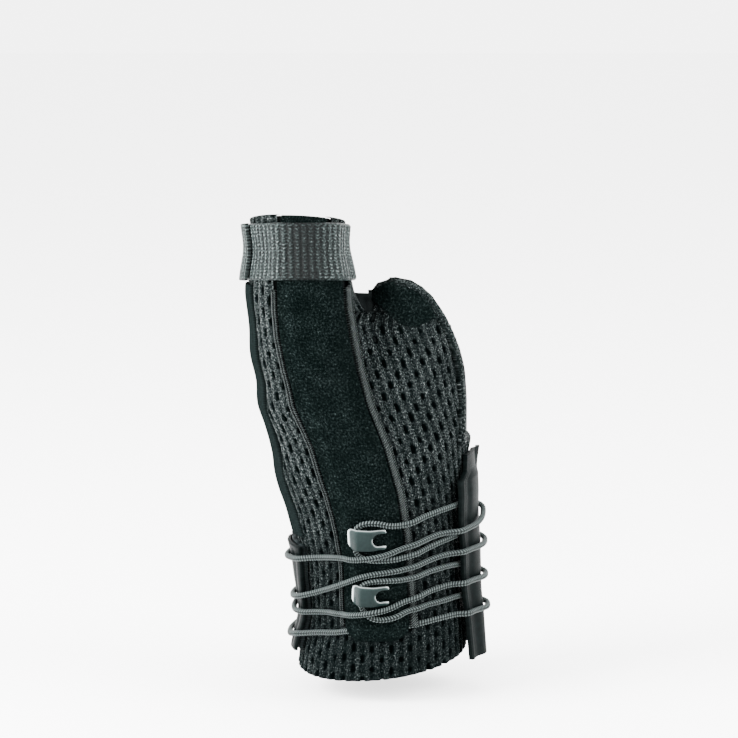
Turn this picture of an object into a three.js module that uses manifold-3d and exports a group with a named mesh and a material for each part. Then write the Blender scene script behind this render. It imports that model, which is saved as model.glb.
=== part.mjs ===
import * as THREE from 'three';
import { mergeVertices } from 'three/addons/utils/BufferGeometryUtils.js';
import Module from 'manifold-3d';

// A right-hand thumb spica splint in the form that it has when worn. Millimetres, +Z from the wrist
// to the tip of the thumb, -Y towards the thumb side, -X towards the palm. The origin is the centre
// of the wrist opening.

const wasm = await Module();
wasm.setup();

// The hollow: inside sizes at the wrist opening, the knuckles and the strap
const height = 150;
const wristWidth = 52;
const wristDepth = 42;
const handWidth = 42;
const handDepth = 41;
const thumbWidth = 27;
const thumbDepth = 29;
const blend = 13;

// The wrap and its rims, angles in degrees
const wall = 3;
const seatGap = 0.3;
const rimTilt = 6.7;
const rimRoll = 6.7;
const sleeveDrop = 4.05;
const sleeveHeight = height - sleeveDrop;
const sleeveTilt = 10;
const sleeveRoll = 5.8;

// The stay pocket and its seams
const pocketWidth = 22.6;
const pocketFoot = 10.8;
const pocketDrop = 2.55;
const pocketHead = height - pocketDrop;
const pocketCorner = 6;
const pocketThickness = 1;
const stayWidth = 15;
const stayRise = 1.4;
const seamWidth = 1.6;
const rollWidth = 2.4;
const seamRise = 1.5;

// The sleeve's edge band, and the facing and binding of the web tongue
const bandWidth = 7;
const bandFoot = 43.05;
const bandTurn = -55;
const bandThickness = 0.9;
const facingThickness = 0.7;
const bindingWidth = 2;

// The thumb strap
const strapDrop = 22.95;
const strapFoot = height - strapDrop;
const strapHeight = 18.6;
const strapTilt = 8.5;
const strapThickness = 1.3;
const strapEndWidth = 12;
const strapEndTurn = -62;

// The belt and its two lace strips
const beltThickness = 1.4;
const beltFoot = 3;
const beltHeightPalm = 36;
const beltHeightDorsal = 55.05;
const beltLap = 3.5;
const stripThickness = 1.3;
const palmStripWidth = 15;
const dorsalBack = 106;
const slotHeight = 8;
const slotWidth = 4;
const slotTurn = 94.5;

// The lace and its hooks
const laceDiameter = 2.3;
const hookLength = 13;
const hookHeight = 7.1;
const hookThickness = 1.1;
const hookNotch = 4.1;
const hookSlot = 4.6;

// Mesh size of the wrap
const cell = 6.35;

// The hollow is a smooth union of tapered round bones. Each row is a point on a bone's axis: x is a
// share of the wrist width, y of the wrist depth, z of the height, w and d of the bone's own sizes.
const bones = [
  {
    part: 'wrist', width: wristWidth, depth: wristDepth,
    rows: [
      { x: -0.015, y: 0.024, z: -0.27, w: 0.505, d: 0.512 },
      { x: -0.067, y: 0.024, z: 0.347, w: 0.44, d: 0.488 },
    ],
  },
  {
    part: 'hand', width: handWidth, depth: handDepth,
    rows: [
      { x: -0.05, y: 0.071, z: 0.3, w: 0.47, d: 0.5 },
      { x: 0.075, y: 0.238, z: 0.533, w: 0.43, d: 0.642 },
      { x: 0.255, y: 0.571, z: 1, w: 0.369, d: 0.927 },
    ],
  },
  {
    part: 'thumb', width: thumbWidth, depth: thumbDepth,
    rows: [
      { x: -0.163, y: -0.071, z: 0.267, w: 0.66, d: 0.586 },
      { x: -0.296, y: -0.12, z: 0.42, w: 0.635, d: 0.57 },
      { x: -0.395, y: -0.167, z: 0.56, w: 0.565, d: 0.552 },
      { x: -0.506, y: -0.19, z: 0.707, w: 0.52, d: 0.524 },
      { x: -0.562, y: -0.19, z: 0.827, w: 0.46, d: 0.503 },
      { x: -0.576, y: -0.18, z: 1, w: 0.41, d: 0.455 },
      { x: -0.58, y: -0.17, z: 1.147, w: 0.4, d: 0.43 },
    ],
  },
];

// The stay pocket, seen from the thumb side: its middle line, and its width as a share of its full one
const pocketLine = [
  { z: 0.07, x: -0.087, w: 1 },
  { z: 0.16, x: -0.103, w: 1 },
  { z: 0.31, x: -0.134, w: 1 },
  { z: 0.4, x: -0.177, w: 1 },
  { z: 0.5, x: -0.259, w: 1 },
  { z: 0.593, x: -0.364, w: 1 },
  { z: 0.667, x: -0.424, w: 1 },
  { z: 0.74, x: -0.467, w: 1 },
  { z: 0.8, x: -0.489, w: 0.965 },
  { z: 0.86, x: -0.496, w: 0.945 },
  { z: 0.985, x: -0.506, w: 0.84 },
];

// The cut edge of the web tongue and of the back of the hand, seen from the thumb side
const tongueEdge = [
  { x: -0.188, z: 0.832 },
  { x: -0.077, z: 0.84 },
  { x: 0.02, z: 0.857 },
  { x: 0.12, z: 0.853 },
  { x: 0.2, z: 0.839 },
  { x: 0.265, z: 0.818 },
  { x: 0.33, z: 0.785 },
  { x: 0.39, z: 0.745 },
  { x: 0.44, z: 0.7 },
  { x: 0.476, z: 0.65 },
  { x: 0.488, z: 0.59 },
  { x: 0.488, z: 0.48 },
];

// The lower edge of the brushed facing under the tongue's edge
const facingEdge = [
  { x: -0.12, z: 0.795 },
  { x: -0.04, z: 0.757 },
  { x: 0.06, z: 0.735 },
  { x: 0.15, z: 0.738 },
  { x: 0.22, z: 0.752 },
  { x: 0.27, z: 0.763 },
];

// The rim of the hand opening on the palm side, seen from the side: from the web backwards
const palmEdge = [
  { y: -0.14, z: 0.84 },
  { y: 0.05, z: 0.78 },
  { y: 0.19, z: 0.713 },
  { y: 0.33, z: 0.64 },
  { y: 0.55, z: 0.56 },
  { y: 0.8, z: 0.51 },
  { y: 1.1, z: 0.48 },
];

// The same rim on the back of the hand, up to the cut edge of the tongue
const backEdge = [
  { y: -0.03, z: 0.86 },
  { y: -0.03, z: 0.56 },
  { y: 0.04, z: 0.51 },
  { y: 0.2, z: 0.485 },
  { y: 1.1, z: 0.48 },
];

// The strip on the palm side, from below upwards: where its front edge lies round the wrist
const palmStrip = [
  { z: 0.01, front: -76 },
  { z: 0.14, front: -70 },
  { z: 0.27, front: -62 },
];

// The strip on the back of the wrist, from below upwards: where its front edge lies round the wrist,
// its height over the wrap as a share of the lace's passage, and how far its outer part flares off
const dorsalStrip = [
  { z: 0, front: 69, rise: 1, flare: 2.6 },
  { z: 0.1, front: 66, rise: 1, flare: 2.5 },
  { z: 0.2, front: 60, rise: 1, flare: 1.8 },
  { z: 0.3, front: 55, rise: 1, flare: 0.7 },
  { z: 0.37, front: 55, rise: 1, flare: 0 },
  { z: 0.41, front: 56, rise: 0.8, flare: 0 },
  { z: 0.425, front: 68, rise: 0.4, flare: 0 },
  { z: 0.46, front: 73, rise: 0.12, flare: 0 },
];

// Heights of the slots in that strip where the lace turns, as shares of the height
const laceSlots = [0.119, 0.191, 0.27, 0.34];

// Where the two hooks sit on the pocket: their left edge and their foot
const hooks = [
  { name: 'hook_upper', x: -0.277, z: 0.283 },
  { name: 'hook_lower', x: -0.258, z: 0.155 },
];

// The lace's two runs, taut over the splint. turn is the angle round the wrist from the thumb side
// towards the back of the hand, z the share of the height, level 0 on the wrap or the pocket and 1 on
// a strip, and cross how many lace thicknesses it passes above the other run.
const laceLong = [
  { turn: -19.5, z: 0.3045, level: 0, cross: 0 },
  { turn: -18, z: 0.326, level: 0, cross: 0 },
  { turn: -13, z: 0.341, level: 0, cross: 0 },
  { turn: -5, z: 0.341, level: 0, cross: 0 },
  { turn: 2, z: 0.335, level: 0, cross: 0 },
  { turn: 12, z: 0.335, level: 0, cross: 0 },
  { turn: 26, z: 0.345, level: 0, cross: 0 },
  { turn: 40, z: 0.353, level: 0, cross: 0 },
  { turn: 56, z: 0.357, level: 0, cross: 0 },
  { turn: 72, z: 0.357, level: 0, cross: 0 },
  { turn: 87, z: 0.353, level: 0, cross: 0 },
  { turn: 93.5, z: 0.347, level: 0.08, cross: 0 },
  { turn: 95, z: 0.339, level: 0.5, cross: 0 },
  { turn: 93.5, z: 0.331, level: 0.95, cross: 0 },
  { turn: 86, z: 0.32, level: 1, cross: 0 },
  { turn: 72, z: 0.311, level: 1, cross: 0 },
  { turn: 60, z: 0.308, level: 1, cross: 0 },
  { turn: 51.5, z: 0.306, level: 1, cross: 0 },
  { turn: 44, z: 0.3035, level: 0.3, cross: 0 },
  { turn: 35, z: 0.3, level: 0, cross: 0 },
  { turn: 18, z: 0.289, level: 0, cross: 0 },
  { turn: 8, z: 0.282, level: 0, cross: 0 },
  { turn: 0, z: 0.2735, level: 0, cross: 0.3 },
  { turn: -7, z: 0.269, level: 0, cross: 0.9 },
  { turn: -14, z: 0.2655, level: 0, cross: 1.05 },
  { turn: -20, z: 0.264, level: 0, cross: 1 },
  { turn: -27, z: 0.262, level: 0, cross: 0.4 },
  { turn: -36, z: 0.259, level: 0, cross: 0 },
  { turn: -51, z: 0.249, level: 0.15, cross: 0 },
  { turn: -58, z: 0.244, level: 0.75, cross: 0 },
  { turn: -64, z: 0.239, level: 1, cross: 0 },
  { turn: -80, z: 0.23, level: 1, cross: 0 },
  { turn: -92, z: 0.215, level: 1, cross: 0 },
  { turn: -97, z: 0.18, level: 1, cross: 0 },
  { turn: -98, z: 0.137, level: 1, cross: 0 },
  { turn: -97, z: 0.094, level: 1, cross: 0 },
  { turn: -93, z: 0.06, level: 1, cross: 0 },
  { turn: -84, z: 0.05, level: 1, cross: 0 },
  { turn: -76, z: 0.056, level: 1, cross: 0 },
  { turn: -69, z: 0.062, level: 0.95, cross: 0 },
  { turn: -62, z: 0.068, level: 0.3, cross: 0 },
  { turn: -53, z: 0.074, level: 0, cross: 0 },
  { turn: -41, z: 0.08, level: 0, cross: 0 },
  { turn: -33, z: 0.086, level: 0, cross: 0 },
  { turn: -21, z: 0.09, level: 0, cross: 0 },
  { turn: -10, z: 0.092, level: 0, cross: 0 },
  { turn: 2, z: 0.095, level: 0, cross: 0 },
  { turn: 12, z: 0.1, level: 0, cross: 0 },
  { turn: 24, z: 0.104, level: 0, cross: 0 },
  { turn: 38, z: 0.109, level: 0, cross: 0 },
  { turn: 54, z: 0.113, level: 0.3, cross: 0 },
  { turn: 61, z: 0.113, level: 1, cross: 0 },
  { turn: 69, z: 0.1125, level: 1, cross: 0 },
  { turn: 80, z: 0.11, level: 1, cross: 0 },
  { turn: 88, z: 0.109, level: 1, cross: 0 },
  { turn: 93.5, z: 0.113, level: 0.95, cross: 0 },
  { turn: 95, z: 0.12, level: 0.5, cross: 0 },
  { turn: 93.5, z: 0.127, level: 0.08, cross: 0 },
  { turn: 86, z: 0.137, level: 0, cross: 0 },
  { turn: 64, z: 0.148, level: 0, cross: 0 },
  { turn: 50, z: 0.148, level: 0, cross: 0 },
  { turn: 38, z: 0.146, level: 0, cross: 0 },
  { turn: 25, z: 0.143, level: 0, cross: 0 },
  { turn: 13, z: 0.138, level: 0, cross: 0 },
  { turn: 4, z: 0.128, level: 0, cross: 0 },
  { turn: -4, z: 0.124, level: 0, cross: 0 },
  { turn: -10, z: 0.128, level: 0, cross: 0 },
  { turn: -15, z: 0.14, level: 0, cross: 0 },
  { turn: -17, z: 0.155, level: 0, cross: 0 },
  { turn: -17.5, z: 0.1735, level: 0, cross: 0 },
];

const laceShort = [
  { turn: -19.5, z: 0.3015, level: 0, cross: 0 },
  { turn: -19, z: 0.285, level: 0, cross: 0 },
  { turn: -17, z: 0.27, level: 0, cross: 0 },
  { turn: -10, z: 0.26, level: 0, cross: 0 },
  { turn: 2, z: 0.26, level: 0, cross: 0 },
  { turn: 12, z: 0.264, level: 0, cross: 0 },
  { turn: 24, z: 0.272, level: 0, cross: 0 },
  { turn: 38, z: 0.283, level: 0, cross: 0 },
  { turn: 52, z: 0.288, level: 0, cross: 0 },
  { turn: 68, z: 0.291, level: 0, cross: 0 },
  { turn: 87, z: 0.286, level: 0, cross: 0 },
  { turn: 93.5, z: 0.279, level: 0.08, cross: 0 },
  { turn: 95, z: 0.27, level: 0.5, cross: 0 },
  { turn: 93.5, z: 0.261, level: 0.95, cross: 0 },
  { turn: 86, z: 0.256, level: 1, cross: 0 },
  { turn: 70, z: 0.257, level: 1, cross: 0 },
  { turn: 62, z: 0.258, level: 1, cross: 0 },
  { turn: 53.5, z: 0.2575, level: 1, cross: 0 },
  { turn: 45, z: 0.255, level: 0.25, cross: 0 },
  { turn: 34, z: 0.25, level: 0, cross: 0 },
  { turn: 18, z: 0.24, level: 0, cross: 0 },
  { turn: 5, z: 0.234, level: 0, cross: 0 },
  { turn: -6, z: 0.229, level: 0, cross: 0 },
  { turn: -16, z: 0.221, level: 0, cross: 0 },
  { turn: -26, z: 0.208, level: 0, cross: 0 },
  { turn: -37, z: 0.192, level: 0, cross: 0 },
  { turn: -54, z: 0.168, level: 0.1, cross: 0 },
  { turn: -63, z: 0.155, level: 0.75, cross: 0 },
  { turn: -69, z: 0.148, level: 1, cross: 0 },
  { turn: -82, z: 0.137, level: 1, cross: 0 },
  { turn: -89.5, z: 0.129, level: 1, cross: 0 },
  { turn: -89.5, z: 0.114, level: 1, cross: 0 },
  { turn: -82, z: 0.108, level: 1, cross: 0 },
  { turn: -72, z: 0.111, level: 1, cross: 0 },
  { turn: -66, z: 0.113, level: 0.8, cross: 0 },
  { turn: -58, z: 0.118, level: 0.1, cross: 0 },
  { turn: -42, z: 0.126, level: 0, cross: 0 },
  { turn: -33, z: 0.129, level: 0, cross: 0.2 },
  { turn: -24, z: 0.134, level: 0, cross: 0.95 },
  { turn: -14, z: 0.1385, level: 0, cross: 1.05 },
  { turn: -6, z: 0.144, level: 0, cross: 1 },
  { turn: 1, z: 0.148, level: 0, cross: 0.4 },
  { turn: 9, z: 0.158, level: 0, cross: 0 },
  { turn: 20, z: 0.167, level: 0, cross: 0 },
  { turn: 34, z: 0.176, level: 0, cross: 0 },
  { turn: 49, z: 0.1825, level: 0.2, cross: 0 },
  { turn: 57, z: 0.184, level: 1, cross: 0 },
  { turn: 66, z: 0.184, level: 1, cross: 0 },
  { turn: 76, z: 0.182, level: 1, cross: 0 },
  { turn: 88, z: 0.18, level: 1, cross: 0 },
  { turn: 93.5, z: 0.183, level: 0.95, cross: 0 },
  { turn: 95, z: 0.191, level: 0.5, cross: 0 },
  { turn: 93.5, z: 0.199, level: 0.08, cross: 0 },
  { turn: 86, z: 0.209, level: 0, cross: 0 },
  { turn: 62, z: 0.221, level: 0, cross: 0 },
  { turn: 48, z: 0.225, level: 0, cross: 0 },
  { turn: 35, z: 0.223, level: 0, cross: 0 },
  { turn: 22, z: 0.217, level: 0, cross: 0 },
  { turn: 10, z: 0.213, level: 0, cross: 0 },
  { turn: -2, z: 0.213, level: 0, cross: 0 },
  { turn: -10, z: 0.21, level: 0, cross: 0 },
  { turn: -15, z: 0.202, level: 0, cross: 0 },
  { turn: -17.5, z: 0.19, level: 0, cross: 0 },
  { turn: -17.5, z: 0.1765, level: 0, cross: 0 },
];

const mix = (from, to, share) => from + (to - from) * share;
const limit = (value, low, high) => Math.min(Math.max(value, low), high);
const radians = (degrees) => THREE.MathUtils.degToRad(degrees);

function ease(value, from, to) {
  const share = limit((value - from) / (to - from), 0, 1);
  return share * share * (3 - 2 * share);
}

// Reads a column of a table at a place between its rows
function readTable(rows, key, at, column) {
  const rising = rows[0][key] < rows[rows.length - 1][key];
  const ordered = rising ? rows : [...rows].reverse();
  const place = limit(at, ordered[0][key], ordered[ordered.length - 1][key]);
  const next = Math.max(1, ordered.findIndex((row) => row[key] >= place));
  const low = ordered[next - 1];
  const high = ordered[next];
  return mix(low[column], high[column], (place - low[key]) / (high[key] - low[key]));
}

// The hollow as a field: below zero inside the hand, wrist and thumb, and about the distance outside
const axes = bones.map(({ part, width, depth, rows }) => ({
  part,
  points: rows.map((row) => ({
    at: new THREE.Vector3(row.x * wristWidth, row.y * wristDepth, row.z * height),
    round: new THREE.Vector2(row.w * width, row.d * depth),
  })),
}));

function boneField(p, from, to) {
  const dx = to.at.x - from.at.x;
  const dy = to.at.y - from.at.y;
  const dz = to.at.z - from.at.z;
  const along = (p.x - from.at.x) * dx + (p.y - from.at.y) * dy + (p.z - from.at.z) * dz;
  const share = limit(along / (dx * dx + dy * dy + dz * dz), 0, 1);
  const across = mix(from.round.x, to.round.x, share);
  const deep = mix(from.round.y, to.round.y, share);
  const least = Math.min(across, deep);
  const x = (p.x - from.at.x - dx * share) / across;
  const y = (p.y - from.at.y - dy * share) / deep;
  const z = (p.z - from.at.z - dz * share) / least;
  const scaled = Math.hypot(x, y, z);
  const slope = Math.hypot(x / across, y / deep, z / least) + 1e-9;
  return scaled * (scaled - 1) / slope;
}

function smoothUnion(a, b, width) {
  const overlap = Math.max(width - Math.abs(a - b), 0) / width;
  return Math.min(a, b) - overlap * overlap * width / 4;
}

function partField(part, p, width) {
  const { points } = axes.find((axis) => axis.part === part);
  let value = boneField(p, points[0], points[1]);
  for (let i = 2; i < points.length; i += 1) {
    value = smoothUnion(value, boneField(p, points[i - 1], points[i]), width);
  }
  return value;
}

function thumbField(p) {
  return partField('thumb', p, blend / 2);
}

// The web between the thumb and the hand is full in front and runs out below the strap and behind
function hollow(p) {
  const arm = smoothUnion(partField('wrist', p, blend), partField('hand', p, blend), blend);
  const above = ease(p.z, 0.8 * height, 0.85 * height);
  const behind = ease(p.y, -0.3 * wristDepth, 0) * ease(p.z, 0.7 * height, 0.79 * height);
  const web = mix(blend, 0.06 * blend, Math.max(above, behind));
  return smoothUnion(arm, thumbField(p), web);
}

function slopeOf(field, p) {
  const step = 0.05;
  const slope = new THREE.Vector3();
  for (const axis of ['x', 'y', 'z']) {
    const ahead = p.clone();
    const behind = p.clone();
    ahead[axis] += step;
    behind[axis] -= step;
    slope[axis] = (field(ahead) - field(behind)) / (2 * step);
  }
  return slope;
}

// The middle of the thumb sleeve at a height, and of the wrist
const thumbRows = axes.find((axis) => axis.part === 'thumb').points.map(({ at }) => at);

function sleeveMiddle(z) {
  return {
    x: readTable(thumbRows, 'z', z, 'x'),
    y: readTable(thumbRows, 'z', z, 'y'),
  };
}

const wristMiddle = { x: -0.02 * wristWidth, y: 0.024 * wristDepth };

// The place on a layer of the splint, lift above the wrap, straight in front of x and z
function frontSkin(x, z, lift) {
  const step = 1;
  let inside = -wristDepth - thumbDepth;
  while (hollow(new THREE.Vector3(x, inside, z)) > wall + lift && inside < wristDepth) inside += step;
  let outside = inside - step;
  for (let i = 0; i < 24; i += 1) {
    const y = (outside + inside) / 2;
    if (hollow(new THREE.Vector3(x, y, z)) < wall + lift) inside = y;
    else outside = y;
  }
  return new THREE.Vector3(x, (outside + inside) / 2, z);
}

// The place on a layer of the splint at an angle round a middle, from the thumb side to the back
function roundSkin(middle, turn, z, lift, field = hollow) {
  const out = new THREE.Vector2(Math.sin(radians(turn)), -Math.cos(radians(turn)));
  const at = (r) => new THREE.Vector3(middle.x + out.x * r, middle.y + out.y * r, z);
  let near = 0;
  let far = 1;
  while (field(at(far)) < wall + lift && far < 3 * wristWidth) {
    near = far;
    far += 1;
  }
  for (let i = 0; i < 24; i += 1) {
    const r = (near + far) / 2;
    if (field(at(r)) < wall + lift) near = r;
    else far = r;
  }
  return at((near + far) / 2);
}

// Geometry helpers
function closedGeometry(points, triangles) {
  const geometry = new THREE.BufferGeometry();
  const numbers = points.flatMap((p) => p.toArray());
  geometry.setAttribute('position', new THREE.Float32BufferAttribute(numbers, 3));
  geometry.setIndex(triangles.flat());
  return geometry;
}

function solidOf(geometry, matrix) {
  const bare = geometry.clone();
  bare.deleteAttribute('normal');
  bare.deleteAttribute('uv');
  if (matrix) bare.applyMatrix4(matrix);
  const merged = mergeVertices(bare, 1e-4);
  const mesh = new wasm.Mesh({
    numProp: 3,
    vertProperties: new Float32Array(merged.attributes.position.array),
    triVerts: new Uint32Array(merged.index.array),
  });
  const solid = new wasm.Manifold(mesh);
  return solid;
}

function geometryOf(solid) {
  const { vertProperties, triVerts } = solid.getMesh();
  const geometry = new THREE.BufferGeometry();
  geometry.setAttribute('position', new THREE.Float32BufferAttribute(vertProperties, 3));
  geometry.setIndex([...triVerts]);
  return geometry;
}

// A closed sheet over a grid: place(u, v, side) gives its points, side 0 next to the wrap and 1 outside
function sheet(across, along, place, ring = false) {
  const points = [];
  const columns = ring ? across : across + 1;
  const rows = along + 1;
  for (const side of [0, 1]) {
    for (let j = 0; j < rows; j += 1) {
      for (let i = 0; i < columns; i += 1) points.push(place(i / across, j / along, side));
    }
  }
  const id = (i, j, side) => side * rows * columns + j * columns + (i % columns);
  const triangles = [];
  const face = (a, b, c, d) => triangles.push([a, b, c], [a, c, d]);
  for (let j = 0; j < along; j += 1) {
    for (let i = 0; i < across; i += 1) {
      face(id(i, j, 1), id(i + 1, j, 1), id(i + 1, j + 1, 1), id(i, j + 1, 1));
      face(id(i, j, 0), id(i, j + 1, 0), id(i + 1, j + 1, 0), id(i + 1, j, 0));
    }
    if (!ring) {
      face(id(0, j, 0), id(0, j, 1), id(0, j + 1, 1), id(0, j + 1, 0));
      face(id(across, j, 0), id(across, j + 1, 0), id(across, j + 1, 1), id(across, j, 1));
    }
  }
  for (let i = 0; i < across; i += 1) {
    face(id(i, 0, 0), id(i + 1, 0, 0), id(i + 1, 0, 1), id(i, 0, 1));
    face(id(i, along, 0), id(i, along, 1), id(i + 1, along, 1), id(i + 1, along, 0));
  }
  if (volumeOf(points, triangles) > 0) return closedGeometry(points, triangles);
  return closedGeometry(points, triangles.map((t) => t.reverse()));
}

function volumeOf(points, triangles) {
  return triangles.reduce((sum, [a, b, c]) => (
    sum + points[a].dot(new THREE.Vector3().crossVectors(points[b], points[c]))
  ), 0) / 6;
}

// The twelve edges of a cell, each with the corner it starts from and its direction, and the six sides
const directions = [[1, 0, 0], [0, 1, 0], [0, 0, 1]];
const cellEdges = directions.flatMap((step, axis) => (
  [0, 1, 2, 3].map((n) => {
    const from = [0, 0, 0];
    from[(axis + 1) % 3] = n % 2;
    from[(axis + 2) % 3] = n >> 1;
    return { axis, from, to: from.map((value, d) => value + step[d]) };
  })
));
const cellSides = [0, 1, 2].flatMap((d) => [0, 1].map((side) => (
  cellEdges.filter(({ from, to }) => from[d] === side && to[d] === side)
)));

// The closed surface of a field's zero level inside a box, with one corner in each cell for each
// sheet of the surface that passes through it
function levelSurface(field, low, high) {
  const [nx, ny, nz] = ['x', 'y', 'z'].map((axis) => Math.ceil((high[axis] - low[axis]) / cell) + 1);
  const spot = (i, j, k) => new THREE.Vector3(low.x + i * cell, low.y + j * cell, low.z + k * cell);
  const sampleId = (i, j, k) => (k * ny + j) * nx + i;
  const values = new Float64Array(nx * ny * nz);
  for (let k = 0; k < nz; k += 1) {
    for (let j = 0; j < ny; j += 1) {
      for (let i = 0; i < nx; i += 1) {
        const border = i === 0 || j === 0 || k === 0 || i === nx - 1 || j === ny - 1 || k === nz - 1;
        values[sampleId(i, j, k)] = border ? cell / 2 : field(spot(i, j, k));
      }
    }
  }
  const points = [];
  const cornerOf = new Map();
  const edgeKey = (i, j, k, from, axis) => `${i},${j},${k},${from},${axis}`;
  for (let k = 0; k < nz - 1; k += 1) {
    for (let j = 0; j < ny - 1; j += 1) {
      for (let i = 0; i < nx - 1; i += 1) {
        const value = ([a, b, c]) => values[sampleId(i + a, j + b, k + c)];
        for (const sheetEdges of cellSheets(value)) {
          const point = new THREE.Vector3();
          for (const { from, to } of sheetEdges) {
            const share = value(from) / (value(from) - value(to));
            const start = spot(i + from[0], j + from[1], k + from[2]);
            point.add(start.lerp(spot(i + to[0], j + to[1], k + to[2]), share));
          }
          point.divideScalar(sheetEdges.length);
          if (k > 0 && k < nz - 2) settle(field, point);
          for (const { from, axis } of sheetEdges) {
            cornerOf.set(edgeKey(i, j, k, from, axis), points.length);
          }
          points.push(point);
        }
      }
    }
  }
  const triangles = [];
  for (let k = 0; k < nz - 1; k += 1) {
    for (let j = 0; j < ny - 1; j += 1) {
      for (let i = 0; i < nx - 1; i += 1) {
        directions.forEach((step, axis) => {
          const here = values[sampleId(i, j, k)] < 0;
          const there = values[sampleId(i + step[0], j + step[1], k + step[2])] < 0;
          if (here === there) return;
          const ring = [[1, 1], [0, 1], [0, 0], [1, 0]].map(([b, c]) => {
            const from = [0, 0, 0];
            from[(axis + 1) % 3] = b;
            from[(axis + 2) % 3] = c;
            return cornerOf.get(edgeKey(i - from[0], j - from[1], k - from[2], from, axis));
          });
          if (there) ring.reverse();
          const [a, b, c, d] = ring.map((id) => points[id]);
          const first = a.distanceToSquared(c) < b.distanceToSquared(d) ? 0 : 1;
          const at = (n) => ring[(first + n) % 4];
          triangles.push([at(0), at(1), at(2)], [at(0), at(2), at(3)]);
        });
      }
    }
  }
  return closedGeometry(points, triangles);
}

// The crossed edges of a cell, grouped by the sheet of the surface that crosses them
function cellSheets(value) {
  const crossed = cellEdges.filter(({ from, to }) => value(from) < 0 !== value(to) < 0);
  const group = new Map(crossed.map((edge, n) => [edge, n]));
  const join = (a, b) => {
    const [keep, drop] = [group.get(a), group.get(b)];
    for (const [edge, n] of group) {
      if (n === drop) group.set(edge, keep);
    }
  };
  for (const side of cellSides) {
    const cut = side.filter((edge) => group.has(edge));
    if (cut.length === 2) join(cut[0], cut[1]);
    if (cut.length === 4) {
      const inner = (edge) => String(value(edge.from) < 0 ? edge.from : edge.to);
      const alike = (edge) => cut.find((other) => inner(other) === inner(edge));
      cut.forEach((edge) => join(alike(edge), edge));
    }
  }
  return [...new Set(group.values())].map((n) => crossed.filter((edge) => group.get(edge) === n));
}

// Moves a point onto the field's zero level
function settle(field, point) {
  for (let n = 0; n < 3; n += 1) {
    const slope = slopeOf(field, point);
    point.addScaledVector(slope, -field(point) / slope.lengthSq());
  }
}

// Heights over the wrap of what lies on it, for the pieces and the lace that pass over
const passage = laceDiameter + 2 * seatGap;
const seamHead = strapFoot - 2 * seatGap;
const tunnelRise = pocketFoot + 0.5 * laceDiameter + 1.9;
const tunnelSlope = 0.09;

function pocketMiddle(z) {
  return readTable(pocketLine, 'z', z / height, 'x') * wristWidth;
}

function pocketSide(z) {
  return readTable(pocketLine, 'z', z / height, 'w') * pocketWidth / 2;
}

// The lace passes under the foot of the pocket, which lifts over it
function underside(x, z) {
  const line = tunnelRise + tunnelSlope * (x - pocketMiddle(pocketFoot));
  return seatGap + passage * (1 - ease(Math.abs(z - line), 0.6 * laceDiameter, 2.4 * laceDiameter));
}

function stayHeight(x, z) {
  const offset = Math.abs(x - pocketMiddle(z));
  return stayRise * (1 - ease(offset, stayWidth / 2 - stayRise, stayWidth / 2 + stayRise));
}

function pocketTop(x, z) {
  return underside(x, z) + pocketThickness + stayHeight(x, z);
}

function coverHeight(x, z) {
  const offset = Math.abs(x - pocketMiddle(z));
  const seams = z < seamHead && offset < pocketSide(z) + rollWidth + seatGap ? seatGap + seamRise : 0;
  const pocket = offset < pocketSide(z) ? pocketTop(x, z) : 0;
  return Math.max(seams, pocket);
}

// The wrap: a shell round the hollow, cut at the wrist rim, the sleeve's mouth and the hand opening
const room = 2 * height;
const lowest = -0.16 * height;
const highest = 1.12 * height;

// A block whose flat side passes through a place, above it or below it
function block(place, tilt, roll, side) {
  const matrix = new THREE.Matrix4().compose(
    place,
    new THREE.Quaternion().setFromEuler(new THREE.Euler(radians(tilt), radians(roll), 0)),
    new THREE.Vector3(1, 1, 1),
  );
  const box = new THREE.BoxGeometry(room, room, height);
  box.translate(0, 0, side * height / 2);
  return solidOf(box, matrix);
}

// An outline seen from the front, or from the side, cut through the splint from one place onwards
function prism(outline, view, from = -room / 2) {
  const geometry = new THREE.ExtrudeGeometry(new THREE.Shape(outline), {
    depth: room,
    bevelEnabled: false,
    steps: 1,
  });
  const matrix = new THREE.Matrix4();
  const up = new THREE.Vector3(0, 0, 1);
  if (view === 'front') matrix.makeBasis(new THREE.Vector3(1, 0, 0), up, new THREE.Vector3(0, -1, 0));
  else matrix.makeBasis(new THREE.Vector3(0, 1, 0), up, new THREE.Vector3(1, 0, 0));
  geometry.translate(0, 0, from);
  return solidOf(geometry, matrix);
}

const rimMiddle = sleeveMiddle(sleeveHeight);
const sleeveRim = new THREE.Vector3(rimMiddle.x, rimMiddle.y, sleeveHeight);
const webHeight = tongueEdge[0].z * height;
const thumbRound = axes.find((axis) => axis.part === 'thumb').points[4].round;
const webStart = sleeveMiddle(webHeight).x + thumbRound.x + wall + 2 * seatGap;
const backStart = 0.2 * wristWidth;
const thumbBack = sleeveMiddle(webHeight).y + thumbRound.y + wall + 2 * seatGap;

const tongueOutline = tongueEdge.map(({ x, z }) => (
  new THREE.Vector2(Math.max(x * wristWidth, webStart), z * height)
));

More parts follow.
